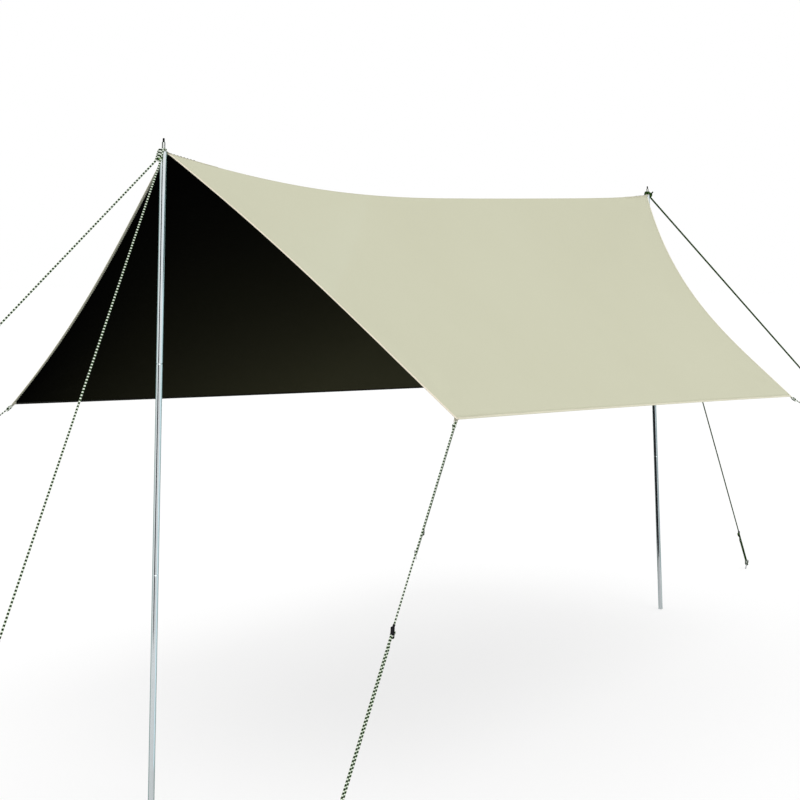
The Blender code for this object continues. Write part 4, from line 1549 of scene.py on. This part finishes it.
@dataclass
class Pole:
    """A pole of three joined tubes with a spike on top."""

    end: End
    layout: Layout
    finishes: Finishes
    wall: float = 0.0010
    lower: float = 0.755
    middle: float = 0.6225
    neck: float = 0.0016
    neck_depth: float = 0.0011
    insert: float = 0.020
    swell: float = 0.00015
    ground_gap: float = 0.0002
    cap_gap: float = 0.00005
    spike_gap: float = 0.0003
    spike_rings: tuple[Pair, ...] = (
        (0.0050, 0.0), (0.0050, 0.0252), (0.0048, 0.0266), (0.0041, 0.0276), (0.0035, 0.0280),
        (0.0031, 0.0282), (0.0030, 0.0290), (0.0030, 0.0376), (0.0025, 0.0385), (0.0014, 0.0390),
    )
    tip_from: float = 0.0281
    sides: int = 40
    spike_sides: int = 32

    def tube_profile(self, bottom: float, top: float, necked: bool) -> list[Pair]:
        """Round the wall of one tube, whose top narrows to plug into the next.

        Args:
            bottom: Height of its lower lip.
            top: Height where the next tube starts, or its open top.
            necked: True if it plugs into another tube.

        Returns:
            Radius and height of each ring.
        """
        outer = self.layout.pole_radius
        lip = [
            (outer - self.wall, bottom + 0.0004), (outer - self.wall * 0.6, bottom), (outer - 0.0003, bottom),
            (outer + self.swell, bottom + 0.0006), (outer + self.swell, bottom + 0.0024),
            (outer, bottom + 0.0040),
        ]
        steps = [(outer, bottom + (top - bottom) * step / 6) for step in range(1, 6)]
        inner, shoulder = outer - self.neck_depth, top - self.neck
        if necked:
            end = [
                (outer, shoulder - 0.0012), (inner + 0.0002, shoulder), (inner, shoulder + 0.0004),
                (inner, top + self.insert), (inner - self.wall, top + self.insert),
            ]
        else:
            end = [(outer, top - 0.0008), (outer - 0.0003, top - 0.0001), (outer - self.wall, top - 0.0001)]
        return lip + steps + end + [(inner - self.wall, bottom + self.insert * 1.5)]

    def finish(self, obj: Object, materials: Sequence[Material], slot: Slot, *nodes: str) -> None:
        """Shades a piece, leans it with the pole and dresses it."""
        smooth_shade(obj, 35)
        settle(obj, self.layout.pole_matrix(self.end))
        dress(obj, materials, slot, nodes)

    def make_tube(self, part: str, bottom: float, top: float, necked: bool = True) -> None:
        """One tube of the pole."""
        name = f"{self.end.word}_pole_{part}"
        obj = turned_piece(name + "_tube", self.tube_profile(bottom, top, necked), self.sides, hollow=True)
        self.finish(obj, [self.finishes.pole], Slot.POLE, name)

    def make_cap(self, length: float) -> None:
        """The flat plug in the top of the pole."""
        radius = self.layout.pole_radius - self.wall - self.cap_gap
        profile = [
            (radius - 0.0004, length - 0.012), (radius, length - 0.0116), (radius, length - 0.0006),
            (radius - 0.0006, length), (0.0050, length),
        ]
        obj = turned_piece(f"{self.end.word}_pole_cap", profile, self.sides)
        self.finish(obj, [self.finishes.plastic], Slot.TENSIONER)

    def make_spike(self, length: float) -> None:
        """The stout pin and its thin dark tip."""
        base = length + self.spike_gap
        profile = [(radius, base + height) for radius, height in self.spike_rings]
        obj = turned_piece(f"{self.end.word}_spike", profile, self.spike_sides)
        for polygon in obj.data.polygons:
            polygon.material_index = 1 if polygon.center.z > base + self.tip_from else 0
        materials = [self.finishes.spike, self.finishes.tip]
        self.finish(obj, materials, Slot.SPIKE, f"{self.end.word}_pole_spike")

    def build(self) -> None:
        """Makes the three tubes, the cap and the spike."""
        length = self.layout.pole_length(self.end)
        lean = abs(self.layout.top(self.end).x - self.layout.foot(self.end).x)
        foot_lift = self.layout.pole_radius * lean / length
        joint = self.lower + self.middle
        self.make_tube("lower", foot_lift + self.ground_gap, self.lower)
        self.make_tube("middle", self.lower, joint)
        self.make_tube("upper", joint, length, necked=False)
        self.make_cap(length)
        self.make_spike(length)


# Guy lines

@dataclass
class Rope:
    """Braided cord, with its strands raised in its surface."""

    finish: Material
    radius: float = 0.0027
    relief: float = 0.00022
    strands: int = 4
    pitch: float = ROPE_PITCH
    sides: int = 16
    step: float = 0.0025
    ease: float = 0.004
    end_shape: tuple[Pair, ...] = ((0.0005, 0.92), (0.0010, 0.72), (0.0013, 0.40))

    def radius_at(self, angle: np.ndarray, length: np.ndarray) -> np.ndarray:
        """The radius, higher where strands cross."""
        crossing = np.cos(self.strands * angle) * np.cos(2 * np.pi * length / self.pitch)
        return self.radius + self.relief * crossing

    def make(self, name: str, points: Sequence[Vector], replaces: Sequence[str] = ()) -> Object:
        """The rope along a line of points.

        Args:
            name: The piece's name.
            points: The line that it follows.
            replaces: The nodes that it stands for.

        Returns:
            The piece.
        """
        path = smoothed(as_array(points), self.step, self.ease)
        obj = tube_mesh(name, path, self.sides, self.radius_at, self.end_shape)
        return dress(obj, [self.finish], Slot.ROPE, replaces)


@dataclass(frozen=True)
class Wrapping:
    """Turns of rope round two strands, with both ends tucked in."""

    turns: float
    length: float
    across: float
    deep: float
    tail: float = 0.0
    hand: int = 1
    steps: int = 18
    tucked: float = 0.55

    def line(self, origin: Vector, along: Vector, level: Vector, square: Vector) -> list[Vector]:
        """The turns' centreline.

        Args:
            origin: The middle of the strands where the turns start.
            along: The strands' direction.
            level: The direction from one strand to the other.
            square: The direction square to both.

        Returns:
            Its points.
        """
        count = round(self.turns * self.steps)
        points = []
        for index in range(count + 1):
            share = index / count
            angle = 2 * math.pi * self.turns * share
            quarters = min(share, 1 - share) * self.turns * 4
            grip = self.tucked + (1 - self.tucked) * min(quarters, 1)
            point = origin + along * (self.length * share)
            point += level * (math.cos(angle) * self.across * grip * self.hand)
            point += square * (math.sin(angle) * self.deep * grip)
            points.append(point)
        return points


@dataclass
class Tensioner:
    """The flat runner across the doubled end of a line."""

    finishes: Finishes
    length: float = 0.030
    width: float = 0.010
    thickness: float = 0.003
    corner: float = 0.003
    tilt: float = 40
    hole_spacing: float = 0.014
    hole_radius: float = 0.0033

    @property
    def second_hole(self) -> Vector:
        """From its first hole to its second, in the line's frame."""
        angle = math.radians(self.tilt)
        return Vector((self.hole_spacing * math.cos(angle), 0, self.hole_spacing * math.sin(angle)))

    def model(self) -> Object:
        """The runner at the origin of a line's frame, its holes along the line."""
        deselect_all()
        bpy.ops.mesh.primitive_cube_add(size=1)
        obj = bpy.context.object
        obj.scale = (self.length, self.width, self.thickness)
        settle_scale(obj)
        edit(obj, lambda: bpy.ops.mesh.select_all(action="DESELECT"))
        for edge in obj.data.edges:
            edge.select = self.is_upright(obj, edge)
        activate(obj)
        bpy.ops.object.mode_set(mode="EDIT")
        bpy.ops.mesh.select_mode(type="EDGE")
        bpy.ops.mesh.bevel(offset=self.corner, segments=6, affect="EDGES")
        bpy.ops.object.mode_set(mode="OBJECT")
        turned = Matrix.Rotation(-math.radians(self.tilt), 4, "Y")
        obj.data.transform(Matrix.Translation(self.second_hole / 2) @ turned)
        for centre in (Vector(ZERO), self.second_hole):
            self.drill(obj, centre)
        apply_modifier(
            obj, "BEVEL", width=0.0005, segments=2, limit_method="ANGLE", angle_limit=math.radians(40)
        )
        smooth_shade(obj, 35)
        return obj

    def is_upright(self, obj: Object, edge: bpy.types.MeshEdge) -> bool:
        """True for the four short edges through the bar's thickness."""
        first, second = (obj.data.vertices[index].co for index in edge.vertices)
        return abs(first.z - second.z) > self.thickness / 2

    def drill(self, obj: Object, centre: Vector) -> None:
        """Cuts one hole along the line."""
        deselect_all()
        bpy.ops.mesh.primitive_cylinder_add(
            vertices=28, radius=self.hole_radius, depth=0.03, location=centre,
            rotation=(0, math.radians(90), 0),
        )
        cut(obj, bpy.context.object)


@dataclass
class Peg:
    """A hooked wire peg, leaning away from the tent."""

    finishes: Finishes
    radius: float = 0.003
    lean: float = 30
    shaft: float = 0.045
    below: float = 0.02
    hook_radius: float = 0.008
    hook_turn: float = 150
    hook_steps: int = 24
    hook_tail: float = 0.006
    attach: float = 0.028
    step: float = 0.0012
    sides: int = 16
    end_shape: tuple[Pair, ...] = ((0.0004, 0.92), (0.0008, 0.70), (0.0010, 0.40))
    ground_gap: float = 0.0001

    def axis(self, out: Vector) -> Vector:
        """The shaft's direction, leaning towards out."""
        lean = math.radians(self.lean)
        return (out * math.sin(lean) + UP * math.cos(lean)).normalized()

    def radius_at(self, angle: np.ndarray, length: np.ndarray) -> np.ndarray:
        """The same radius all round and all along."""
        return np.full(np.broadcast_shapes(angle.shape, length.shape), self.radius)

    def model(self) -> Object:
        """The peg at the origin, +X away from the tent, cut level at the ground."""
        axis = self.axis(AXES[0])
        side = Vector((axis.z, 0, -axis.x))
        points = [axis * -self.below, axis * self.shaft]
        centre = axis * self.shaft + side * self.hook_radius
        for step in range(1, self.hook_steps + 1):
            angle = math.radians(self.hook_turn * step / self.hook_steps)
            points.append(centre + (axis * math.sin(angle) - side * math.cos(angle)) * self.hook_radius)
        points.append(points[-1] + (points[-1] - points[-2]).normalized() * self.hook_tail)
        path = resampled(as_array(points), self.step)
        obj = tube_mesh("peg_pattern", path, self.sides, self.radius_at, self.end_shape)
        edit(obj, lambda: bpy.ops.mesh.bisect(
            plane_co=(0, 0, self.ground_gap), plane_no=(0, 0, 1), use_fill=True, clear_inner=True
        ))
        smooth_shade(obj, 50)
        return obj


@dataclass
class GuyLine:
    """A rope from the tent to a peg, doubled back through a tensioner."""

    name: str
    degrees: float
    reach: float
    doubled: float
    layout: Layout
    rope: Rope
    tensioner: Tensioner
    peg: Peg
    peg_loop: float = 0.0062
    peg_loop_steps: int = 16
    strand_gap: float = 0.0004
    opening: float = 0.030
    twist: float = 0.040
    twist_steps: int = 8
    before_hole: float = 0.022
    into_hole: float = 0.008
    tail: float = 0.014
    stopper_gap: float = 0.0052
    stopper: Wrapping = Wrapping(turns=1.6, length=-0.0062, across=0.0044, deep=0.0044)
    tensioner_model: Object = None
    peg_model: Object = None

    def start(self) -> Vector:
        """The point of the tent that the line is measured from."""
        raise NotImplementedError

    def route(self) -> list[Vector]:
        """The rope's first points, where it is tied to the tent."""
        raise NotImplementedError

    @staticmethod
    def heading(degrees: float) -> Vector:
        """Level unit vector at this angle from +X towards +Y."""
        angle = math.radians(degrees)
        return Vector((math.cos(angle), math.sin(angle), 0))

    def peg_place(self) -> Vector:
        """Where the peg enters the ground."""
        start = self.start()
        return Vector((start.x, start.y, 0)) + self.heading(self.degrees) * self.reach

    def attach(self) -> Vector:
        """The point on the peg's shaft that the line goes round."""
        return self.peg_place() + self.peg.axis(self.heading(self.degrees)) * self.peg.attach

    def returning(self) -> list[Vector]:
        """The strand from the peg back through the tensioner, in the line's own frame."""
        hole = self.tensioner.second_hole
        spacing = 2 * self.rope.radius + self.strand_gap
        points = [Vector((self.doubled - self.opening, -spacing, 0))]
        twist_end = hole.x + self.before_hole
        for step in range(self.twist_steps + 1):
            share = step / self.twist_steps
            angle = math.radians(90 * (2 - share))
            along = twist_end + (1 - share) * self.twist
            points.append(Vector((along, spacing * math.cos(angle), spacing * math.sin(angle))))
        points.append(hole + AXES[0] * self.into_hole)
        points.append(hole - AXES[0] * self.tail)
        return points

    def build(self) -> None:
        """Makes the rope, the tensioner, the peg and the knot behind the tensioner."""
        route, attach = self.route(), self.attach()
        level = (attach - route[-1]).cross(UP).normalized()
        end = attach + level * self.peg_loop
        along = (end - route[-1]).normalized()
        square = along.cross(level).normalized()
        placing = frame_matrix(end - along * self.doubled, along, level, square)
        points = list(route)
        for step in range(self.peg_loop_steps + 1):
            angle = math.pi * step / self.peg_loop_steps
            points.append(attach + (level * math.cos(angle) + along * math.sin(angle)) * self.peg_loop)
        points += [placing @ point for point in self.returning()]
        self.rope.make(self.name + "_rope", points, [self.name])
        runner = copy_piece(self.tensioner_model, self.name + "_runner", placing)
        dress(runner, [self.tensioner.finishes.plastic], Slot.TENSIONER, [self.name + "_tensioner"])
        where = Matrix.Translation(self.peg_place()) @ Matrix.Rotation(math.radians(self.degrees), 4, "Z")
        peg = copy_piece(self.peg_model, self.name + "_wire_peg", where)
        dress(peg, [self.peg.finishes.peg], Slot.PEG, [self.name + "_peg"])
        back = self.tensioner.second_hole - AXES[0] * self.stopper_gap
        self.rope.make(self.name + "_stopper", [placing @ point for point in self.stopper.line(back, *AXES)])


@dataclass
class SpikeGuy(GuyLine):
    """A line looped round a spike. The two lines of a spike leave it together, then part."""

    end: End = End.FRONT
    loop_height: float = 0.0052
    loop_turn: float = 97
    loop_steps: int = 28
    stem: float = 195.0
    stem_bend: tuple[Pair, ...] = ((0.010, 0.0), (0.013, 0.0006), (0.016, 0.0028))
    stem_end: Pair = (0.019, 0.036)
    stem_aside: float = 0.0
    spike_radius: float = 0.0050
    tail_lean: tuple[float, float, float] = (0.35, 0.5, 0.8)

    def start(self) -> Vector:
        """The pole's top."""
        return self.layout.top(self.end)

    def route(self) -> list[Vector]:
        """Round the spike, out over the tab and down to where the line parts from the pole."""
        out = self.heading(self.stem)
        turn = 1 if math.sin(math.radians(self.degrees - self.stem)) > 0 else -1
        beside = self.heading(self.stem + 90) * turn
        centre = self.layout.on_spike(self.end, self.loop_height)
        radius = self.spike_radius + self.rope.radius
        points = []
        for step in range(self.loop_steps + 1):
            angle = math.radians(self.loop_turn * (step / self.loop_steps - 1))
            points.append(centre + (beside * math.cos(angle) + out * math.sin(angle)) * radius)
        for run, fall in self.stem_bend:
            points.append(centre + beside * radius + out * run - UP * fall)
        reach, fall = self.stem_end
        points.append(centre + beside * (self.rope.radius + self.stem_aside) + out * reach - UP * fall)
        return points

    def hitch(self, other: "SpikeGuy", coil: Wrapping, rope: Rope) -> None:
        """Turns of rope below the spike that bind this line, and the other line if it lies beside it.

        Args:
            other: The line beside it, or this line itself.
            coil: The turns.
            rope: The rope that they are made of.
        """
        tied, partner = self.route()[-4:], other.route()[-4:]
        start, end = (tied[1] + partner[1]) / 2, (tied[-1] + partner[-1]) / 2
        along = (end - start).normalized()
        level = along.cross(UP).normalized()
        square = along.cross(level).normalized()
        line = coil.line(start, along, level, square)
        lift, back, aside = self.tail_lean
        lean = (UP * lift - along * back + level * aside * coil.hand).normalized()
        rope.make(f"{self.name}_hitch", [line[0] + lean * coil.tail, *line])


@dataclass(frozen=True)
class CornerAxes:
    """Directions at a corner: the cloth's normal, the line's pull, and the tab's own axes.

    In_plane is the pull laid in the cloth's plane, across is the tab's width, and upright is square
    to the tab where it runs with the line.
    """

    normal: Vector
    pull: Vector
    in_plane: Vector
    across: Vector
    upright: Vector


@dataclass
class CornerGuy(GuyLine):
    """A line tied through the eye of a corner tab.

    Places along the tab are paired with heights over it, in metres from the eye.
    """

    end: End = End.FRONT
    side: Side = Side.NEAR
    form: ClothForm = None
    past_corner: float = -0.002
    eye_at: float = 0.0062
    tab_reach: float = 0.0108
    tab_straight: float = 0.003
    tab_overlap: float = 0.015
    tab_depth: float = 0.0023
    tab_eases: tuple[Pair, ...] = ((0.005, 0.0016), (0.001, 0.0004))
    tab_half_width: float = 0.0060
    tab_end_share: float = 0.3
    tab_thickness: float = 0.0014
    tab_rows: int = 10
    sewn_share: float = 0.75
    eyelet: Eyelet = Eyelet(inner=0.0028, outer=0.0046, hole=0.0031)
    under: float = 0.00425
    rise: float = 0.0044
    bend: float = 0.0028
    bend_steps: int = 4
    below_tab: tuple[Pair, ...] = ((0.022, -0.0052), (0.015, -0.0046))
    above_tab: tuple[Pair, ...] = (
        (0.009, 0.0042), (0.014, 0.0030), (0.020, 0.0012), (0.027, 0.0),
    )
    knot: Wrapping = Wrapping(turns=1.6, length=0.0085, across=0.0042, deep=0.0050)
    knot_at: float = 0.0092
    knot_drop: float = 0.0006

    def start(self) -> Vector:
        """The cloth's corner."""
        return self.layout.corner_point(self.end.value, self.side.value)

    def axes(self) -> CornerAxes:
        """The directions at this corner."""
        corner, end, side = self.start(), self.end.value, self.side.value
        step = 0.02
        along = self.form.plain_point(side, step if end == 0 else 1 - step, 1) - corner
        up = self.form.plain_point(side, end, 1 - step) - corner
        normal = upwards(along.cross(up).normalized())
        pull = (self.attach() - corner).normalized()
        in_plane = (pull - normal * pull.dot(normal)).normalized()
        across = normal.cross(in_plane).normalized()
        return CornerAxes(normal, pull, in_plane, across, upwards(pull.cross(across).normalized(), normal))

    def tab_bend(self, axes: CornerAxes) -> Vector:
        """Where the tab comes out from under the hem and turns along the line."""
        return self.start() + axes.in_plane * self.past_corner - axes.normal * self.under

    def eye(self, axes: CornerAxes) -> Vector:
        """The middle of the tab's eye."""
        return self.tab_bend(axes) + axes.pull * self.eye_at

    def route(self) -> list[Vector]:
        """In under the tab, up through its eye and back over it."""
        axes = self.axes()
        eye, centre = self.eye(axes), self.rise - self.bend
        turns = [math.radians(90 * step / self.bend_steps) for step in range(self.bend_steps + 1)]
        arc = [(self.bend * (1 - math.sin(turn)), centre + self.bend * math.cos(turn)) for turn in turns]
        places = [*self.below_tab, *((along, -height) for along, height in arc), *arc[::-1], *self.above_tab]
        return [eye + axes.pull * along + axes.upright * height for along, height in places]

    def build(self) -> None:
        """Makes the line, the tab that it is tied to and the knot past the tab's eye."""
        super().build()
        axes = self.axes()
        self.make_tab(axes)
        start = self.eye(axes) + axes.pull * self.knot_at - axes.upright * self.knot_drop
        self.rope.make(self.name + "_knot", self.knot.line(start, axes.pull, axes.across, axes.upright))

    def make_tab(self, axes: CornerAxes) -> None:
        """The webbing under the corner, its eyelet and its stitches."""
        bend, normal, across = self.tab_bend(axes), axes.normal, axes.across
        turns = [self.start() - axes.in_plane * self.tab_overlap - normal * self.tab_depth]
        turns += [bend - axes.in_plane * back + normal * rise for back, rise in self.tab_eases]
        turns += [bend + axes.pull * along for along in (self.tab_straight, self.tab_reach)]
        line = [Vector(point) for point in smoothed(as_array(turns), 0.0008, 0.002)]
        total = lengths_along(line)[-1]

        def half(along: float) -> float:
            """Half the tab's width, rounded off at its free end."""
            left = min((total - along) / self.tab_half_width, 1)
            return self.tab_half_width * max(math.sqrt(1 - (1 - left) ** 2), self.tab_end_share)

        name, finishes = f"{self.end.word}_{self.side.word}_corner_tab", self.tensioner.finishes
        obj = strip(
            name + "_webbing", line, half, self.tab_rows, self.tab_thickness,
            lambda column, aside: line[column] + across * aside,
        )
        eye = frame_matrix(self.eye(axes), axes.pull, across, axes.pull.cross(across))
        self.eyelet.punch(obj, eye)
        smooth_shade(obj, 45)
        dress(obj, [finishes.webbing], Slot.WEBBING, [name])
        self.eyelet.make(name + "_eyelet", self.tab_thickness / 2, finishes, eye)
        rows = Stitching(name + "_stitches", length=0.0024, pitch=0.0034, radius=0.0003)
        sewn = line[2 : len(line) // 2]
        under = -normal * self.tab_thickness / 2
        asides = [across * share * self.tab_half_width for share in (-self.sewn_share, self.sewn_share)]
        for aside in asides:
            rows.row([point + aside + under for point in sewn], [-normal] * len(sewn))
        for point in (sewn[0], sewn[-1]):
            rows.row([point + aside + under for aside in asides], [-normal, -normal])
        rows.make(finishes.pale_thread, Slot.WEBBING)


def build_guy_lines(layout: Layout, form: ClothForm, finishes: Finishes) -> None:
    """Makes four lines from the spikes and four from the corners.

    Args:
        layout: Where the poles and corners are.
        form: The cloth's shape.
        finishes: The materials.
    """
    tensioner, peg = Tensioner(finishes), Peg(finishes)
    runner, wire = tensioner.model(), peg.model()
    shared = {
        "layout": layout, "tensioner": tensioner, "peg": peg, "tensioner_model": runner, "peg_model": wire,
    }
    pale, thin = Rope(finishes.rope), Rope(finishes.rope, radius=0.0022)
    green, stout = Rope(finishes.green_rope, radius=0.0030), Rope(finishes.green_rope, radius=0.0040)
    spike_lines = [
        SpikeGuy(
            "front_near_guy", 204.0, 1.80, 0.40, rope=pale, **shared, stem_end=(0.035, 0.042),
            stem_aside=0.0040,
        ),
        SpikeGuy("front_far_guy", 161.7, 2.00, 0.40, rope=pale, **shared, stem_end=(0.044, 0.0365)),
        SpikeGuy(
            "back_near_guy", 329.2, 2.10, 0.40, rope=stout, **shared, end=End.BACK, loop_height=0.0062,
            loop_turn=280, stem=345.0, stem_end=(0.0150, 0.019),
        ),
        SpikeGuy(
            "back_far_guy", 1.4, 1.324, 0.235, rope=green, **shared, end=End.BACK, loop_height=0.0118,
            loop_turn=280, stem=80.0, stem_end=(0.0140, 0.015),
        ),
    ]
    corners = (
        (End.FRONT, Side.NEAR, 193.8, 1.20, 1.05), (End.FRONT, Side.FAR, 146.566, 1.4917, 0.30),
        (End.BACK, Side.NEAR, 302.0, 1.80, 0.30), (End.BACK, Side.FAR, 47.5, 1.10, 0.235),
    )
    for line in spike_lines:
        line.build()
    for end, side, degrees, reach, doubled in corners:
        name = f"{end.word}_{side.word}_corner_guy"
        CornerGuy(name, degrees, reach, doubled, rope=thin, **shared, end=end, side=side, form=form).build()
    drop(runner)
    drop(wire)
    front, beside, *back = spike_lines
    coil = Wrapping(turns=7.4, length=0.040, across=0.0054, deep=0.0044, tail=0.004, hand=-1)
    front.hitch(beside, coil, Rope(finishes.wrapped_rope))
    for line, tail in zip(back, (0.010, 0.004)):
        line.hitch(line, Wrapping(turns=2.6, length=0.014, across=0.0054, deep=0.0054, tail=tail), green)


# Studio

@dataclass(frozen=True)
class Card:
    """A tall card, out of the picture, that only the polished metal reflects.

    It stands at this place in X and Y and faces this many degrees from +X towards +Y. With no glow
    it is a dark flag.
    """

    name: str
    place: Pair
    facing: float
    size: Pair
    glow: float = 0.0
    lift: float = 0.01

    def build(self) -> None:
        """Makes the card."""
        deselect_all()
        bpy.ops.mesh.primitive_plane_add(
            size=1, location=(*self.place, self.size[1] / 2 + self.lift),
            rotation=(math.radians(90), 0, math.radians(self.facing + 90)),
        )
        card = bpy.context.object
        card.name = self.name
        card.scale = (*self.size, 1)
        settle_scale(card)
        card.data.materials.append(new_material(self.name, {
            "Base Color": (0.01, 0.012, 0.014), "Roughness": 1.0, "Specular IOR Level": 0.0,
            "Emission Color": (0.80, 0.95, 1.0), "Emission Strength": self.glow,
        })[0])
        card.visible_camera = card.visible_diffuse = card.visible_shadow = False


@dataclass
class Studio:
    """A pale floor, soft light all round, and the camera at standing eye height."""

    eye: Place = (-3.1586, -3.1093, 1.6624)
    heading: float = 34.99
    pitch: float = -2.0
    lens: float = 67.5
    sensor: float = 36.0
    shift_y: float = -0.1017
    clip_end: float = 500.0
    floor_size: float = 160.0
    floor_place: Place = (1.7, 0, -0.0004)
    floor_colour: float = 0.70
    floor_seen: float = 0.34
    floor_lift: float = 0.68
    surround: float = 0.86
    dimming: float = 0.45
    dim_direction: Place = (0.72, 0.69, 0.05)
    dim_edge: float = 0.72
    sun_strength: float = 0.75
    sun_angle: float = 35.0
    sun_from: Place = (-0.45, -0.75, 1.25)
    cards: tuple[Card, ...] = (
        Card("left_flag", (-2.88, -0.73), 14.0, (1.90, 3.2)),
        Card("right_card", (0.75, -0.20), 120.0, (1.50, 1.9), glow=0.90),
        Card("back_flag", (3.30, 0.60), 270.0, (1.90, 1.2)),
        Card("inner_flag", (2.82, -0.16), 15.0, (1.20, 1.2)),
        Card("back_card", (3.84, -0.42), 135.0, (1.60, 1.3), glow=0.45),
    )

    def make_camera(self) -> None:
        """The camera at the photograph's viewing angle."""
        data = bpy.data.cameras.new("camera")
        data.lens = self.lens
        data.sensor_width = self.sensor
        data.shift_y = self.shift_y
        data.clip_end = self.clip_end
        camera = link("camera", data)
        camera.location = self.eye
        camera.rotation_euler = (math.radians(90 + self.pitch), 0, math.radians(self.heading - 90))
        bpy.context.scene.camera = camera

    def make_floor(self) -> None:
        """A plain pale floor, lifted for the camera so that it meets the white surround."""
        deselect_all()
        bpy.ops.mesh.primitive_plane_add(size=self.floor_size, location=self.floor_place)
        floor = bpy.context.object
        floor.name = "studio_floor"
        material, graph, shader = new_material("studio_floor", {
            "Roughness": 0.9, "Specular IOR Level": 0.0, "Emission Color": (1.0, 1.0, 1.0),
        })
        seen = graph.node("ShaderNodeLightPath").outputs["Is Camera Ray"]
        tone = graph.band(seen, 0.0, 1.0, self.floor_colour, self.floor_seen)
        grey = graph.node("ShaderNodeCombineColor", {0: tone, 1: tone, 2: tone}).outputs[0]
        graph.feed(shader.inputs["Base Color"], grey)
        graph.feed(shader.inputs["Emission Strength"], graph.band(seen, 0.0, 1.0, 0.0, self.floor_lift))
        floor.data.materials.append(material)

    def make_world(self) -> None:
        """A white surround to the camera. To the surfaces it is dimmer behind the tent."""
        world = bpy.data.worlds.new("studio")
        bpy.context.scene.world = world
        world.use_nodes = True
        graph = Graph(world.node_tree)
        background = world.node_tree.nodes["Background"]
        background.inputs["Color"].default_value = (1, 1, 1, 1)
        camera_ray = graph.node("ShaderNodeLightPath").outputs["Is Camera Ray"]
        direction = graph.node("ShaderNodeTexCoord").outputs["Generated"]
        behind = graph.node(
            "ShaderNodeVectorMath", {0: direction, 1: self.dim_direction}, operation="DOT_PRODUCT"
        )
        lobe = graph.band(behind.outputs["Value"], self.dim_edge, 1.0)
        given = graph.maths("SUBTRACT", self.surround, graph.times(lobe, self.dimming))
        seen = graph.node("ShaderNodeMix", {0: camera_ray, 2: given, 3: 1.0}).outputs[0]
        graph.feed(background.inputs["Strength"], seen)

    def make_sun(self) -> None:
        """A broad soft light from above the camera's shoulder."""
        data = bpy.data.lights.new("broad_light", "SUN")
        data.energy = self.sun_strength
        data.angle = math.radians(self.sun_angle)
        light = link("broad_light", data)
        light.rotation_euler = Vector(self.sun_from).to_track_quat("Z", "Y").to_euler()

    def build(self) -> None:
        """Makes the studio."""
        self.make_camera()
        self.make_floor()
        self.make_world()
        self.make_sun()
        for card in self.cards:
            card.build()
        view = bpy.context.scene.view_settings
        view.view_transform = "Standard"
        view.look = "None"


def main() -> None:
    """Builds the studio, then every piece of the tent."""
    logging.basicConfig(level=logging.INFO, format="%(name)s: %(message)s")
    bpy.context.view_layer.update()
    Studio().build()
    layout = Layout()
    form = ClothForm(layout)
    finishes = Finishes(Effects())
    Canopy(form, finishes).build()
    for end in End:
        Pole(end, layout, finishes).build()
    build_guy_lines(layout, form, finishes)


if __name__ == "__main__":
    main()
